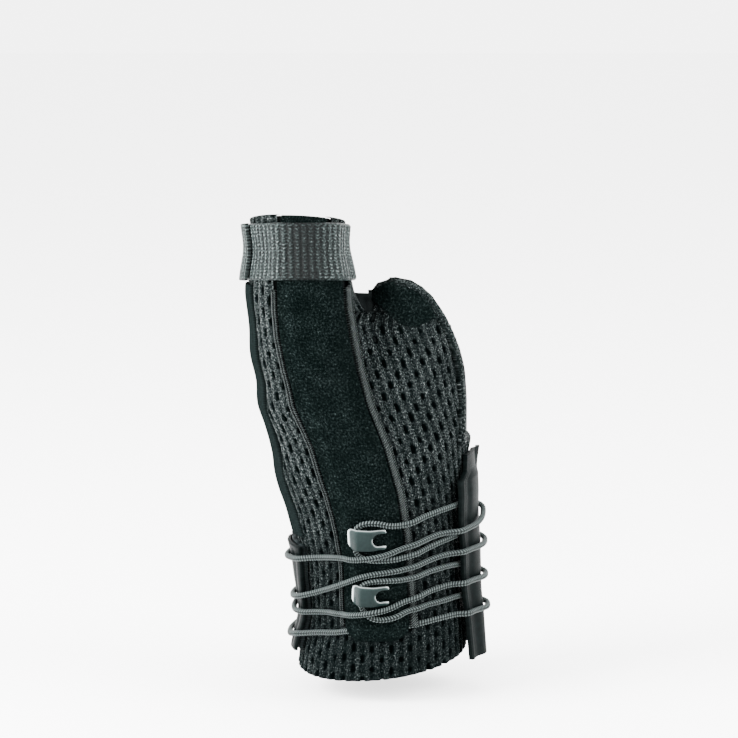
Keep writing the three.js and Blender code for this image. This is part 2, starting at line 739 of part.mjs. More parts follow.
function wrapBody() {
  const low = new THREE.Vector3(-1.1 * wristWidth, -1.1 * wristDepth, lowest);
  const high = new THREE.Vector3(wristWidth, 2.2 * wristDepth, highest);
  const outer = solidOf(levelSurface((p) => hollow(p) - wall, low, high));
  const inner = solidOf(levelSurface((p) => hollow(p), low, high));
  const top = highest + height;
  const above = (line) => [
    ...line,
    new THREE.Vector2(room, line.at(-1).y),
    new THREE.Vector2(room, top),
    new THREE.Vector2(line[0].x, top),
  ];
  const sideLine = (edge) => edge.map(({ y, z }) => new THREE.Vector2(y * wristDepth, z * height));
  const tongueCut = prism(above(tongueOutline), 'front');
  const palmCut = prism(above(sideLine(palmEdge)), 'side', webStart);
  const behindThumb = [
    new THREE.Vector2(thumbBack, readTable(palmEdge, 'y', thumbBack / wristDepth, 'z') * height),
    ...sideLine(palmEdge).filter((point) => point.x > thumbBack),
  ];
  const thumbCut = prism(above(behindThumb), 'side');
  const backCut = prism(above(sideLine(backEdge)), 'side', backStart);
  const rimCut = block(new THREE.Vector3(), rimTilt, -rimRoll, -1);
  const sleeveCut = block(sleeveRim, -sleeveTilt, sleeveRoll, 1);
  const cuts = [inner, rimCut, sleeveCut, tongueCut, palmCut, thumbCut, backCut, solidOf(strapRoom())];
  return cuts.reduce((solid, cut) => solid.subtract(cut), outer);
}

// The web stays clear of the strap on the side of the hand
function strapRoom() {
  return sheet(10, 2, (u, v, side) => {
    const along = mix(-seatGap, strapHeight + wall, v);
    return strapPoint(mix(35, 165, u), along, mix(0.5 * seatGap, 2 * wall, side));
  });
}

// The stay pocket, a sheet with the stay raised along it and round corners at its ends
function pocketHalf(z) {
  const half = pocketSide(z);
  const inset = Math.min(z - pocketFoot, pocketHead - z);
  const share = 1 - limit(inset, 0, pocketCorner) / pocketCorner;
  return half - pocketCorner * (1 - Math.sqrt(1 - share * share));
}

function stayPocket() {
  return sheet(8, 34, (u, v, side) => {
    const z = mix(pocketFoot, pocketHead, v - 0.08 * Math.sin(2 * Math.PI * v));
    const x = pocketMiddle(z) + (2 * u - 1) * pocketHalf(z);
    return frontSkin(x, z, side ? pocketTop(x, z) : underside(x, z));
  });
}

// A raised seam beside the pocket
function seam(direction, width, from, to, steps) {
  return sheet(2, steps, (u, v, side) => {
    const z = mix(from, to, v);
    const near = pocketSide(z) + seatGap;
    const x = pocketMiddle(z) + direction * (near + u * width);
    const crown = seamRise * (u === 0.5 ? 1 : 0.6);
    return frontSkin(x, z, underside(x, z) + side * crown);
  });
}

// The smooth binding down the palm side of the sleeve
function edgeBand() {
  return sheet(3, 18, (u, v, side) => {
    const z = mix(bandFoot, strapFoot - 2 * seatGap, v);
    const middle = sleeveMiddle(z);
    const span = THREE.MathUtils.radToDeg(bandWidth / (thumbRound.x + wall));
    return roundSkin(middle, bandTurn - u * span, z, seatGap + side * bandThickness);
  });
}

// The brushed facing and the narrow binding of the web tongue
function tongueTop(x) {
  let top = tongueOutline[0].y;
  for (let i = 1; i < tongueOutline.length; i += 1) {
    const from = tongueOutline[i - 1];
    const to = tongueOutline[i];
    const spans = x >= from.x && x <= to.x && to.x > from.x;
    if (spans) top = mix(from.y, to.y, (x - from.x) / (to.x - from.x));
  }
  return top;
}

function webFacing() {
  const from = webStart + 5 * bindingWidth;
  const to = facingEdge.at(-1).x * wristWidth;
  return sheet(12, 4, (u, v, side) => {
    const x = mix(from, to, u);
    const foot = readTable(facingEdge, 'x', x / wristWidth, 'z') * height;
    const head = tongueTop(x) - 1.5 * bindingWidth - 3 * seatGap;
    const z = mix(foot, Math.max(head, foot + bindingWidth), v);
    return frontSkin(x, z, seatGap + side * facingThickness);
  });
}

function webBinding() {
  const line = new THREE.SplineCurve(tongueOutline.slice(1));
  const bindingStart = 0.06;
  return sheet(2, 40, (u, v, side) => {
    const at = line.getPointAt(mix(bindingStart, 1, v));
    const run = line.getTangentAt(mix(bindingStart, 1, v));
    const inset = mix(bindingWidth, seatGap, u);
    return frontSkin(at.x + run.y * inset, at.y - run.x * inset, seatGap + side * bandThickness);
  });
}

// Straps and belts are laid round the sleeve or the wrist
function strapSeat(turn, z) {
  let seat = 0;
  for (const aside of [-6, 0, 6]) {
    const angle = turn + aside;
    if (Math.abs(angle) < 80) {
      const at = roundSkin(sleeveMiddle(z), angle, z, seatGap, thumbField);
      seat = Math.max(seat, coverHeight(at.x, z));
    }
  }
  return seat + seatGap;
}

function strapPoint(turn, along, lift) {
  const middle = sleeveMiddle(strapFoot);
  let z = strapFoot + along;
  let point;
  for (let i = 0; i < 3; i += 1) {
    point = roundSkin(sleeveMiddle(z), turn, z, lift, thumbField);
    z = strapFoot + along - (point.y - middle.y) * Math.tan(radians(strapTilt));
  }
  return roundSkin(sleeveMiddle(z), turn, z, lift, thumbField);
}

function thumbStrap() {
  return sheet(36, 3, (u, v, side) => {
    const turn = 360 * u - 180;
    const seat = strapSeat(turn, strapFoot + strapHeight / 2);
    return strapPoint(turn, v * strapHeight, seat + side * strapThickness);
  }, true);
}

function thumbStrapEnd() {
  const span = THREE.MathUtils.radToDeg(strapEndWidth / (thumbRound.x + wall));
  return sheet(5, 3, (u, v, side) => {
    const turn = strapEndTurn - u * span;
    const seat = strapSeat(turn, strapFoot + strapHeight / 2) + strapThickness + seatGap;
    return strapPoint(turn, mix(0.02, 0.98, v) * strapHeight, seat + side * strapThickness);
  });
}

const beltTop = seatGap + beltThickness + seatGap;
const turnOf = (length, radius) => THREE.MathUtils.radToDeg(length / radius);
const wristRound = (wristWidth + wristDepth) / 4 + wall;

function palmFront(z) {
  return readTable(palmStrip, 'z', z / height, 'front');
}

function wristBelt() {
  const start = dorsalBack - turnOf(beltLap, wristRound);
  return sheet(22, 4, (u, v, side) => {
    const head = beltFoot + mix(beltHeightDorsal, beltHeightPalm, u);
    const z = mix(beltFoot, head, v);
    const end = 360 + palmFront(z) - turnOf(seatGap, wristRound);
    return roundSkin(wristMiddle, mix(start, end, u), z, seatGap + side * beltThickness);
  });
}

function palmLaceStrip() {
  return sheet(5, 8, (u, v, side) => {
    const z = mix(beltFoot - seatGap, beltFoot + beltHeightPalm + seatGap, v);
    const turn = palmFront(z) - u * turnOf(palmStripWidth, wristRound);
    return roundSkin(wristMiddle, turn, z, beltTop + side * stripThickness);
  });
}

// The strip on the back of the wrist stands off the wrap so that the lace passes under it, and comes
// down onto the belt along its back edge
function dorsalLift(turn, z) {
  const read = (column) => readTable(dorsalStrip, 'z', z / height, column);
  const share = limit((turn - read('front')) / (dorsalBack - read('front')), 0, 1);
  const off = passage * read('rise') + read('flare') * ease(share, 0.1, 0.55);
  return mix(off, beltTop, ease(share, 0.72, 0.9));
}

function dorsalLaceStrip() {
  const slots = laceSlots.map((at) => {
    const span = turnOf(slotWidth, wristRound);
    return sheet(1, 1, (u, v, side) => {
      const z = at * height + (v - 0.5) * slotHeight;
      const turn = slotTurn + (u - 0.5) * span;
      return roundSkin(wristMiddle, turn, z, side * 4 * passage);
    });
  });
  const strip = sheet(8, 15, (u, v, side) => {
    const z = mix(dorsalStrip[0].z, dorsalStrip.at(-1).z, v) * height;
    const front = readTable(dorsalStrip, 'z', z / height, 'front');
    const turn = mix(front, dorsalBack, u);
    return roundSkin(wristMiddle, turn, z, dorsalLift(turn, z) + side * stripThickness);
  });
  return slots.reduce((solid, slot) => solid.subtract(solidOf(slot)), solidOf(strip));
}

// The lace follows what it lies on, and as a taut cord it bridges the dips
function laceCurve(rows) {
  const keys = rows.map((row) => new THREE.Vector4(row.turn, row.z * height, row.level, row.cross));
  const places = [];
  const parts = 5;
  for (let i = 0; i < keys.length - 1; i += 1) {
    for (let n = 0; n < parts; n += 1) places.push(spline(keys, i, n / parts));
  }
  places.push(keys.at(-1));
  const covers = places.map((key) => {
    const at = roundSkin(wristMiddle, key.x, key.y, passage);
    if (Math.abs(key.x) > 60 || key.y < tunnelRise + laceDiameter) return 0;
    return Math.max(...[-0.5, 0, 0.5].map((share) => coverHeight(at.x, key.y + share * laceDiameter)));
  });
  const taut = covers.map((cover, i) => Math.max(...covers.slice(Math.max(0, i - 2), i + 3)));
  const points = places.map((key, i) => {
    const near = taut.slice(Math.max(0, i - 1), i + 2);
    const low = near.reduce((sum, value) => sum + value, 0) / near.length;
    const strip = key.x > 0 ? dorsalLift(key.x, key.y) + stripThickness : beltTop + stripThickness;
    const seat = mix(low, strip, limit(key.z, 0, 1)) + key.w * (laceDiameter + seatGap);
    return roundSkin(wristMiddle, key.x, key.y, seat + seatGap + laceDiameter / 2);
  });
  return new THREE.CatmullRomCurve3(points, false, 'centripetal');
}

function spline(keys, i, share) {
  const at = (n) => keys[limit(n, 0, keys.length - 1)];
  const value = (column) => {
    const [a, b, c, d] = [at(i - 1), at(i), at(i + 1), at(i + 2)].map((key) => key[column]);
    const bend = (2 * a - 5 * b + 4 * c - d) * share * share + (3 * b - a - 3 * c + d) * share ** 3;
    return b + 0.5 * ((c - a) * share + bend);
  };
  return new THREE.Vector4(value('x'), value('y'), value('z'), value('w'));
}

function lace(rows) {
  const curve = laceCurve(rows);
  const section = new THREE.Shape().absarc(0, 0, laceDiameter / 2, 0, 2 * Math.PI);
  return new THREE.ExtrudeGeometry(section, {
    extrudePath: curve,
    steps: Math.round(curve.getLength() / (2 * laceDiameter)),
    curveSegments: 4,
    bevelEnabled: false,
  });
}

// A lace hook: a bowed plate that stands on the pocket at its left edge and at its two prong tips
function laceHook({ x, z }) {
  const left = x * wristWidth;
  const foot = z * height;
  const lift = (u) => {
    const bow = ease(u, 0, 0.13) * (1 - ease(u, 0.62, 1));
    return seatGap + bow * (laceDiameter + 2 * seatGap);
  };
  const plate = sheet(12, 1, (u, v, side) => {
    const px = left + u * hookLength;
    const pz = foot + v * hookHeight;
    return frontSkin(px, pz, coverHeight(px, pz) + lift(u) + side * hookThickness);
  });
  const half = hookNotch / 2;
  const start = left + hookLength - hookSlot + half;
  const outline = new THREE.Shape();
  const middle = foot + hookHeight / 2;
  outline.moveTo(start + room, middle - half);
  outline.lineTo(start + room, middle + half);
  outline.lineTo(start, middle + half);
  outline.absarc(start, middle, half, Math.PI / 2, 3 * Math.PI / 2, false);
  const notch = prism(outline.getPoints(6).slice(0, -1), 'front');
  return solidOf(plate).subtract(notch);
}

// The assembly
const colours = {
  mesh: { color: 0x2a2f2f, roughness: 0.9, metalness: 0 },
  brushed: { color: 0x141a1b, roughness: 0.95, metalness: 0 },
  seam: { color: 0x4a5250, roughness: 0.8, metalness: 0 },
  strap: { color: 0x39403f, roughness: 0.6, metalness: 0 },
  strip: { color: 0x1c2625, roughness: 0.7, metalness: 0 },
  lace: { color: 0x5a6260, roughness: 0.6, metalness: 0 },
  hook: { color: 0x2f3f3e, roughness: 0.25, metalness: 0.5 },
};

const splint = new THREE.Group();

function add(name, geometry, colour) {
  const flat = geometry.index ? geometry.toNonIndexed() : geometry;
  flat.computeVertexNormals();
  const mesh = new THREE.Mesh(flat, new THREE.MeshStandardMaterial(colours[colour]));
  mesh.name = name;
  splint.add(mesh);
}

add('mesh_wrap', geometryOf(wrapBody()), 'mesh');
add('stay_cover', stayPocket(), 'brushed');
add('seam_rib_palm', seam(-1, seamWidth, pocketFoot, seamHead, 34), 'seam');
add('seam_rib_dorsal', seam(1, rollWidth, pocketFoot, seamHead, 34), 'seam');
add('sleeve_edge_band', edgeBand(), 'brushed');
add('web_facing', webFacing(), 'brushed');
add('web_binding', webBinding(), 'brushed');
add('thumb_strap', thumbStrap(), 'strap');
add('thumb_strap_end', thumbStrapEnd(), 'strap');
add('wrist_belt', wristBelt(), 'strip');
add('palm_lace_strip', palmLaceStrip(), 'strip');
add('dorsal_lace_strip', geometryOf(dorsalLaceStrip()), 'strip');
for (const hook of hooks) add(hook.name, geometryOf(laceHook(hook)), 'hook');
add('lace_long_run', lace(laceLong), 'lace');
add('lace_short_run', lace(laceShort), 'lace');

export default splint;
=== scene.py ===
"""A right-hand thumb spica splint of black spacer mesh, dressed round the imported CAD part.

Sizes are in millimetres in the CAD frame: +Z up the forearm to the thumb, -Y out of the thumb side that
the camera looks at, -X the palm. Each mesh is turned into metres as it is made.
"""

import math

import bpy
import numpy as np
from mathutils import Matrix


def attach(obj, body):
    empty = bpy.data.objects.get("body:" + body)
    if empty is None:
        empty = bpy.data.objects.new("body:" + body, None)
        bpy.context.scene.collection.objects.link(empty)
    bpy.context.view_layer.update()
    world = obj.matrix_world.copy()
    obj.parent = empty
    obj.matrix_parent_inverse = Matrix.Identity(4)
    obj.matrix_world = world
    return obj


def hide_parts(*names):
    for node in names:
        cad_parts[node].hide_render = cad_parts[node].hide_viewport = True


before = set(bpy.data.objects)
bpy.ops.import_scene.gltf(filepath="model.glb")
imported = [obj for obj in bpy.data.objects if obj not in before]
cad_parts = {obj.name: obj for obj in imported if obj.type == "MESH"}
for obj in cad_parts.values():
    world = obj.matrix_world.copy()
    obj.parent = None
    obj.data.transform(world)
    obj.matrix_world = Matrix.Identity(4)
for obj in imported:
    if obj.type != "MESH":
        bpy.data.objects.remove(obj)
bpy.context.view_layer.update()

# The camera looks square at the thumb side from 10 degrees above, through a long lens.
DISTANCE = 1000.0
LOOK_UP = math.radians(10)
TARGET = (-6.9, 0.0, 96.4)
PIXEL = 0.33
FRAME_PIXELS = 738
camera_data = bpy.data.cameras.new("camera")
camera_data.sensor_width = 36
camera_data.lens = camera_data.sensor_width * DISTANCE / (PIXEL * FRAME_PIXELS)
camera = bpy.data.objects.new("camera", camera_data)
camera.location = (TARGET[0] / 1000, (TARGET[1] - DISTANCE * math.cos(LOOK_UP)) / 1000,
                   (TARGET[2] + DISTANCE * math.sin(LOOK_UP)) / 1000)
camera.rotation_euler = (math.radians(90) - LOOK_UP, 0, 0)
bpy.context.scene.collection.objects.link(camera)
bpy.context.scene.camera = camera


# The studio: a pale floor a little below the wrist rim, and a soft box on each side that draws the
# light edges down the wrap, with a weaker one in front and one overhead.
FLOOR_DROP = 12.0
FLOOR_SIZE = 6.0
floor_data = bpy.data.meshes.new("floor")
half_floor = FLOOR_SIZE / 2
floor_corners = [(-half_floor, -half_floor, 0), (half_floor, -half_floor, 0), (half_floor, half_floor, 0),
                 (-half_floor, half_floor, 0)]
floor_data.from_pydata([(x, y, -FLOOR_DROP / 1000) for x, y, z in floor_corners], [], [(0, 1, 2, 3)])
floor = bpy.data.objects.new("floor", floor_data)
bpy.context.scene.collection.objects.link(floor)


def plain_material(name, colour, roughness):
    """A material with one colour and one roughness, returned with its node tree and its shader node."""
    made = bpy.data.materials.new(name)
    made.use_nodes = True
    shader = made.node_tree.nodes["Principled BSDF"]
    shader.inputs["Base Color"].default_value = (*colour, 1)
    shader.inputs["Roughness"].default_value = roughness
    return made, made.node_tree, shader


floor_paint = plain_material("floor_paint", (0.93, 0.93, 0.93), 0.9)[0]
floor.data.materials.append(floor_paint)

SKY_STRENGTH = 5.6
world = bpy.data.worlds.new("studio")
world.use_nodes = True
world.node_tree.nodes["Background"].inputs["Color"].default_value = (1, 1, 1, 1)
world.node_tree.nodes["Background"].inputs["Strength"].default_value = SKY_STRENGTH
bpy.context.scene.world = world


def soft_box(name, place, width, height, power):
    """A rectangular area light at a place in metres, turned to face the splint's middle."""
    lamp = bpy.data.lights.new(name, "AREA")
    lamp.shape = "RECTANGLE"
    lamp.size = width
    lamp.size_y = height
    lamp.energy = power
    box = bpy.data.objects.new(name, lamp)
    box.location = place
    middle = np.array(TARGET) / 1000
    away = np.array(place) - middle
    tilt = math.acos(away[2] / np.linalg.norm(away))
    box.rotation_euler = (tilt, 0, math.atan2(away[1], away[0]) + math.pi / 2)
    bpy.context.scene.collection.objects.link(box)
    return box


soft_box("box_palm_side", (-0.75, -0.35, 0.35), 0.5, 0.9, 75)
soft_box("box_back_side", (0.8, -0.3, 0.35), 0.5, 0.9, 40)
soft_box("box_front", (0.0, -0.9, 0.55), 0.5, 0.4, 3)
soft_box("box_top", (0.0, 0.1, 0.95), 0.6, 0.6, 5)


# The wrap is one piece of 3 mm spacer mesh, sewn to a tube round the wrist, with a sleeve up the thumb and a
# tongue over the web. Its hollow is the smooth union of tapered round bones, as in the CAD source, and
# every other piece is laid at its own height over that form.
HEIGHT = 150.0
WRIST_WIDTH = 52.0
WRIST_DEPTH = 42.0
HAND_SIZE = (42.0, 41.0)
THUMB_SIZE = (27.0, 29.0)
BLEND = 13.0
WALL = 3.0
SEAT_GAP = 0.3
# Each bone row: x, y and z of the axis, then half the width and half the depth, all as shares.
WRIST_ROWS = [(-0.015, 0.024, -0.27, 0.505, 0.512), (-0.067, 0.024, 0.347, 0.44, 0.488)]
HAND_ROWS = [(-0.05, 0.071, 0.3, 0.47, 0.5), (0.075, 0.238, 0.533, 0.43, 0.642),
             (0.255, 0.571, 1.0, 0.369, 0.927)]
THUMB_ROWS = [(-0.163, -0.071, 0.267, 0.66, 0.586), (-0.296, -0.12, 0.42, 0.635, 0.57),
              (-0.395, -0.167, 0.56, 0.565, 0.552), (-0.506, -0.19, 0.707, 0.52, 0.524),
              (-0.562, -0.19, 0.827, 0.46, 0.503), (-0.576, -0.18, 1.0, 0.41, 0.455),
              (-0.58, -0.17, 1.147, 0.4, 0.43)]
WRIST_MIDDLE = (-0.02 * WRIST_WIDTH, 0.024 * WRIST_DEPTH)


def ease(value, start, end):
    """0 before start, 1 after end, and a smooth S between: s squared times (3 - 2 s)."""
    share = np.clip((value - start) / (end - start), 0, 1)
    return share * share * (3 - 2 * share)


def bone_chain(points, rows, size, width):
    """The field of a chain of tapered bones: each bone's scaled distance k (k - 1) / |slope|, joined."""
    rows = np.array(rows)
    places = rows[:, :3] * (WRIST_WIDTH, WRIST_DEPTH, HEIGHT)
    halves = rows[:, 3:] * size
    value = None
    for start, end, round_start, round_end in zip(places[:-1], places[1:], halves[:-1], halves[1:]):
        run = end - start
        share = np.clip((points - start) @ run / (run @ run), 0, 1)[..., None]
        half = round_start + share * (round_end - round_start)
        half = np.concatenate((half, half.min(-1, keepdims=True)), -1)
        scaled = (points - start - share * run) / half
        k = np.linalg.norm(scaled, axis=-1)
        field = k * (k - 1) / (np.linalg.norm(scaled / half, axis=-1) + 1e-9)
        value = field if value is None else smooth_union(value, field, width)
    return value


def smooth_union(a, b, width):
    """The lesser of two fields, lowered by overlap squared times width / 4 where they are near each other."""
    overlap = np.maximum(width - np.abs(a - b), 0) / width
    return np.minimum(a, b) - overlap * overlap * width / 4


def thumb_field(points):
    """The thumb's part of the hollow alone."""
    return bone_chain(points, THUMB_ROWS, THUMB_SIZE, BLEND / 2)


def hollow(points):
    """The hollow: below zero inside, and about the distance from it outside, in millimetres."""
    wrist = bone_chain(points, WRIST_ROWS, (WRIST_WIDTH, WRIST_DEPTH), BLEND)
    hand = bone_chain(points, HAND_ROWS, HAND_SIZE, BLEND)
    up = points[..., 2]
    above = ease(up, 0.8 * HEIGHT, 0.85 * HEIGHT)
    behind = ease(points[..., 1], -0.3 * WRIST_DEPTH, 0) * ease(up, 0.7 * HEIGHT, 0.79 * HEIGHT)
    web = BLEND * (1 - 0.94 * np.maximum(above, behind))
    return smooth_union(smooth_union(wrist, hand, BLEND), thumb_field(points), web)


def sleeve_middle(z):
    """The thumb bones' axis at a height."""
    rows = np.array(THUMB_ROWS)
    return (np.interp(z, rows[:, 2] * HEIGHT, rows[:, 0] * WRIST_WIDTH),
            np.interp(z, rows[:, 2] * HEIGHT, rows[:, 1] * WRIST_DEPTH))


def out_from(middle_x, middle_y, turn, z, reach):
    """The point at a reach from a middle, in the direction turn degrees from -Y towards +X."""
    angle = np.radians(turn)
    x = middle_x + np.sin(angle) * reach
    y = middle_y - np.cos(angle) * reach
    return np.stack(np.broadcast_arrays(x, y, z), -1)


def round_skin(turn, z, lift, middle=None, field=hollow):
    """The layer at a lift over the wrap, out from a middle: steps to the first crossing, then halves."""
    turn, z, lift = np.broadcast_arrays(*(np.asarray(value, float) for value in (turn, z, lift)))
    middle_x, middle_y = WRIST_MIDDLE if middle is None else middle
    stride = 1.5
    near = np.zeros(turn.shape)
    open_ray = np.ones(turn.shape, bool)
    for step in range(1, 46):
        reach = stride * step
        inside = field(out_from(middle_x, middle_y, turn, z, reach)) < WALL + lift
        open_ray &= inside
        near = np.where(open_ray, reach, near)
        if not open_ray.any():
            break
    far = near + stride
    for _ in range(9):
        half = (near + far) / 2
        inside = field(out_from(middle_x, middle_y, turn, z, half)) < WALL + lift
        near = np.where(inside, half, near)
        far = np.where(inside, far, half)
    return out_from(middle_x, middle_y, turn, z, (near + far) / 2)


def front_skin(x, z, lift):
    """The layer at a lift over the wrap, straight in front of x and z: steps back, then halves."""
    x, z, lift = np.broadcast_arrays(*(np.asarray(value, float) for value in (x, z, lift)))
    stride = 1.0
    start = -1.1 * WRIST_DEPTH
    far = np.full(x.shape, start)
    outside = np.ones(x.shape, bool)
    for step in range(1, 62):
        y = start + stride * step
        outside &= hollow(np.stack((x, np.full(x.shape, y), z), -1)) > WALL + lift
        far = np.where(outside, y, far)
    near = far + stride
    for _ in range(9):
        half = (near + far) / 2
        behind = hollow(np.stack((x, half, z), -1)) < WALL + lift
        near = np.where(behind, half, near)
        far = np.where(behind, far, half)
    return np.stack((x, (near + far) / 2, z), -1)


def outward(points, field=hollow):
    """The unit slope of the field, which points out of the wrap."""
    step = 0.05
    slope = np.stack([field(points + step * axis) - field(points - step * axis) for axis in np.eye(3)], -1)
    return slope / np.linalg.norm(slope, axis=-1, keepdims=True)


# The lacing draws the palm side in between two heights, most at its middle, and the thumb's base lets it
# out above. The pull starts at a line that leans with the thumb, and grows to the palm side of it.
PULL = 2.3
PULL_FROM = (2.0, 16.0)
PULL_TO = (50.0, 68.0)
WAIST_PULL = 0.8
WAIST_HEIGHT = 34.0
WAIST_REACH = 8.0
SPREAD = 1.7
SPREAD_HEIGHT = 88.0
SPREAD_REACH = 6.0
RIM_SPREAD = 0.9
RIM_REACH = 6.0
PULL_LINE = -6.0
PULL_LEAN = 0.36
PULL_LEAN_FROM = 40.0
PULL_WIDTH = 18.0


def as_worn(points):
    """The form when worn: x moves by the smooth waves of z above, more and more towards the palm."""
    x, y, z = points[..., 0], points[..., 1], points[..., 2]
    pulled = PULL * ease(z, *PULL_FROM) * (1 - ease(z, *PULL_TO))
    pulled += WAIST_PULL * np.exp(-((z - WAIST_HEIGHT) / WAIST_REACH) ** 2)
    spread = SPREAD * np.exp(-((z - SPREAD_HEIGHT) / SPREAD_REACH) ** 2)
    spread += RIM_SPREAD * (1 - ease(z, -RIM_REACH, RIM_REACH))
    edge = PULL_LINE - PULL_LEAN * np.maximum(z - PULL_LEAN_FROM, 0)
    moved = x + (pulled - spread) * ease(edge - x, 0, PULL_WIDTH)
    return np.stack((moved, y, z), -1)


def put(name, points, faces, material, uv=None, smooth=True):
    """Puts points in millimetres and faces into a mesh, in metres, as a piece that rides on the root."""
    points = as_worn(points)
    data = bpy.data.meshes.new(name)
    data.from_pydata(points / 1000, [], faces.tolist() if isinstance(faces, np.ndarray) else faces)
    data.polygons.foreach_set("use_smooth", np.full(len(data.polygons), smooth))
    if uv is not None:
        corners = np.empty(len(data.loops), np.int32)
        data.loops.foreach_get("vertex_index", corners)
        layer = data.uv_layers.new(name="cloth")
        layer.data.foreach_set("uv", (uv[corners] / 100).astype(np.float32).ravel())
    data.update()
    made = bpy.data.objects.new(name, data)
    bpy.context.scene.collection.objects.link(made)
    data.materials.append(material)
    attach(made, "root")
    return made


def grid_faces(rows, columns, ring=False):
    """The four-cornered faces of a grid numbered row by row; a ring joins its last column to its first."""
    number = np.arange(rows * columns).reshape(rows, columns)
    if ring:
        number = np.concatenate((number, number[:, :1]), 1)
    return np.stack((number[:-1, :-1], number[:-1, 1:], number[1:, 1:], number[1:, :-1]), -1).reshape(-1, 4)


def weld(points, faces, uv=None, width=0.02):
    """Merges points nearer than width and drops the faces that this closes up."""
    keys = np.round(points / width).astype(np.int64)
    _, first, number = np.unique(keys, axis=0, return_index=True, return_inverse=True)
    number = number.ravel()
    faces = number[faces]
    turned = np.roll(faces, -1, axis=1)
    kept = faces != turned
    full = faces[kept.all(1)]
    three = faces[kept.sum(1) == 3]
    three = three[kept[kept.sum(1) == 3]].reshape(-1, 3)
    three = three[(three[:, 0] != three[:, 1]) & (three[:, 1] != three[:, 2]) & (three[:, 0] != three[:, 2])]
    opposite = (full[:, 0] == full[:, 2]) | (full[:, 1] == full[:, 3])
    return points[first], full[~opposite].tolist() + three.tolist(), None if uv is None else uv[first]


# The edges of the wrap are cut through the whole cloth: a slanting rim round the wrist, the mouth of the
# sleeve, the round top of the tongue, and the hand opening, lower on the back than on the palm side.
RIM_SLOPE = math.tan(math.radians(6.7))
MOUTH_HEIGHT = 146.6
MOUTH_SLOPES = (0.03, 0.22)
STRAP_FOOT = 127.05
# Outline points as shares: x of the wrist width or y of its depth, then z of the height.
TONGUE_EDGE = [(-0.188, 0.832), (-0.077, 0.84), (0.02, 0.857), (0.12, 0.853), (0.2, 0.839), (0.265, 0.818),
               (0.33, 0.785), (0.39, 0.745), (0.44, 0.7), (0.476, 0.65), (0.488, 0.59), (0.488, 0.48)]
PALM_EDGE = [(-0.14, 0.84), (0.05, 0.78), (0.19, 0.713), (0.33, 0.64), (0.55, 0.56), (0.8, 0.51), (1.1, 0.48)]
BACK_EDGE = [(-0.03, 0.86), (-0.03, 0.56), (0.04, 0.51), (0.2, 0.485), (1.1, 0.48)]
WEB_HEIGHT = TONGUE_EDGE[0][1] * HEIGHT
WEB_START = sleeve_middle(WEB_HEIGHT)[0] + THUMB_ROWS[4][3] * THUMB_SIZE[0] + WALL + 2 * SEAT_GAP
THUMB_BACK = sleeve_middle(WEB_HEIGHT)[1] + THUMB_ROWS[4][4] * THUMB_SIZE[1] + WALL + 2 * SEAT_GAP
BACK_START = 0.2 * WRIST_WIDTH


def beyond_line(across, up, line):
    """How far points lie above an open line, below zero under it: the distance to its nearest stretch."""
    line = np.array(line)
    line = np.concatenate((line, [[line[-1, 0] + 9 * HEIGHT, line[-1, 1]]]))
    line = np.concatenate(([[line[0, 0], line[0, 1] + 9 * HEIGHT]], line))
    nearest = np.full(np.shape(across), np.inf)
    crossings = np.zeros(np.shape(across), int)
    for (x0, z0), (x1, z1) in zip(line[:-1], line[1:]):
        run = (x1 - x0) ** 2 + (z1 - z0) ** 2
        share = np.clip(((across - x0) * (x1 - x0) + (up - z0) * (z1 - z0)) / run, 0, 1)
        nearest = np.minimum(nearest, np.hypot(across - x0 - share * (x1 - x0), up - z0 - share * (z1 - z0)))
        spans = (z0 > up) != (z1 > up)
        rise = np.where(z1 == z0, 1, z1 - z0)
        crossings += spans & (across > x0 + (up - z0) * (x1 - x0) / rise)
    return np.where(crossings % 2 == 1, nearest, -nearest)


def within_cuts(points):
    """How far points lie inside the wrap's cut edges, below zero where the cloth is cut away."""
    x, y, z = points[..., 0], points[..., 1], points[..., 2]
    middle_x, middle_y = sleeve_middle(MOUTH_HEIGHT)
    rim = z - RIM_SLOPE * (x + y)
    mouth = MOUTH_HEIGHT - MOUTH_SLOPES[1] * (y - middle_y) - MOUTH_SLOPES[0] * (x - middle_x) - z
    tongue_line = [(max(a * WRIST_WIDTH, WEB_START), b * HEIGHT) for a, b in TONGUE_EDGE]
    palm_line = [(a * WRIST_DEPTH, b * HEIGHT) for a, b in PALM_EDGE]
    back_line = [(a * WRIST_DEPTH, b * HEIGHT) for a, b in BACK_EDGE]
    behind_line = [(THUMB_BACK, np.interp(THUMB_BACK, *np.array(palm_line).T))]
    behind_line += [point for point in palm_line if point[0] > THUMB_BACK]
    tongue = -beyond_line(x, z, tongue_line)
    palm = -np.minimum(beyond_line(y, z, palm_line), x - WEB_START)
    behind = -beyond_line(y, z, behind_line)
    back = -np.minimum(beyond_line(y, z, back_line), x - BACK_START)
    return np.minimum.reduce((rim, mouth, tongue, palm, behind, back))


# The stay pocket's middle line sets where the columns of the knit start on each side of it.
POCKET_WIDTH = 22.6
POCKET_FOOT = 10.8
POCKET_HEAD = 147.45
POCKET_LINE = [(0.07, -0.087, 1), (0.16, -0.103, 1), (0.31, -0.134, 1), (0.4, -0.177, 1), (0.5, -0.259, 1),
               (0.593, -0.364, 1), (0.667, -0.424, 1), (0.74, -0.467, 1), (0.8, -0.489, 0.965),
               (0.86, -0.496, 0.945), (0.93, -0.515, 0.8), (0.985, -0.535, 0.64)]
SEAM_WIDTH = 1.6
ROLL_WIDTH = 2.4


def pocket_middle(z):
    """The middle line of the pocket, seen from the thumb side: a smooth line through its table."""
    rows = np.array(POCKET_LINE)
    return np.interp(z, rows[:, 0] * HEIGHT, rows[:, 1] * WRIST_WIDTH)


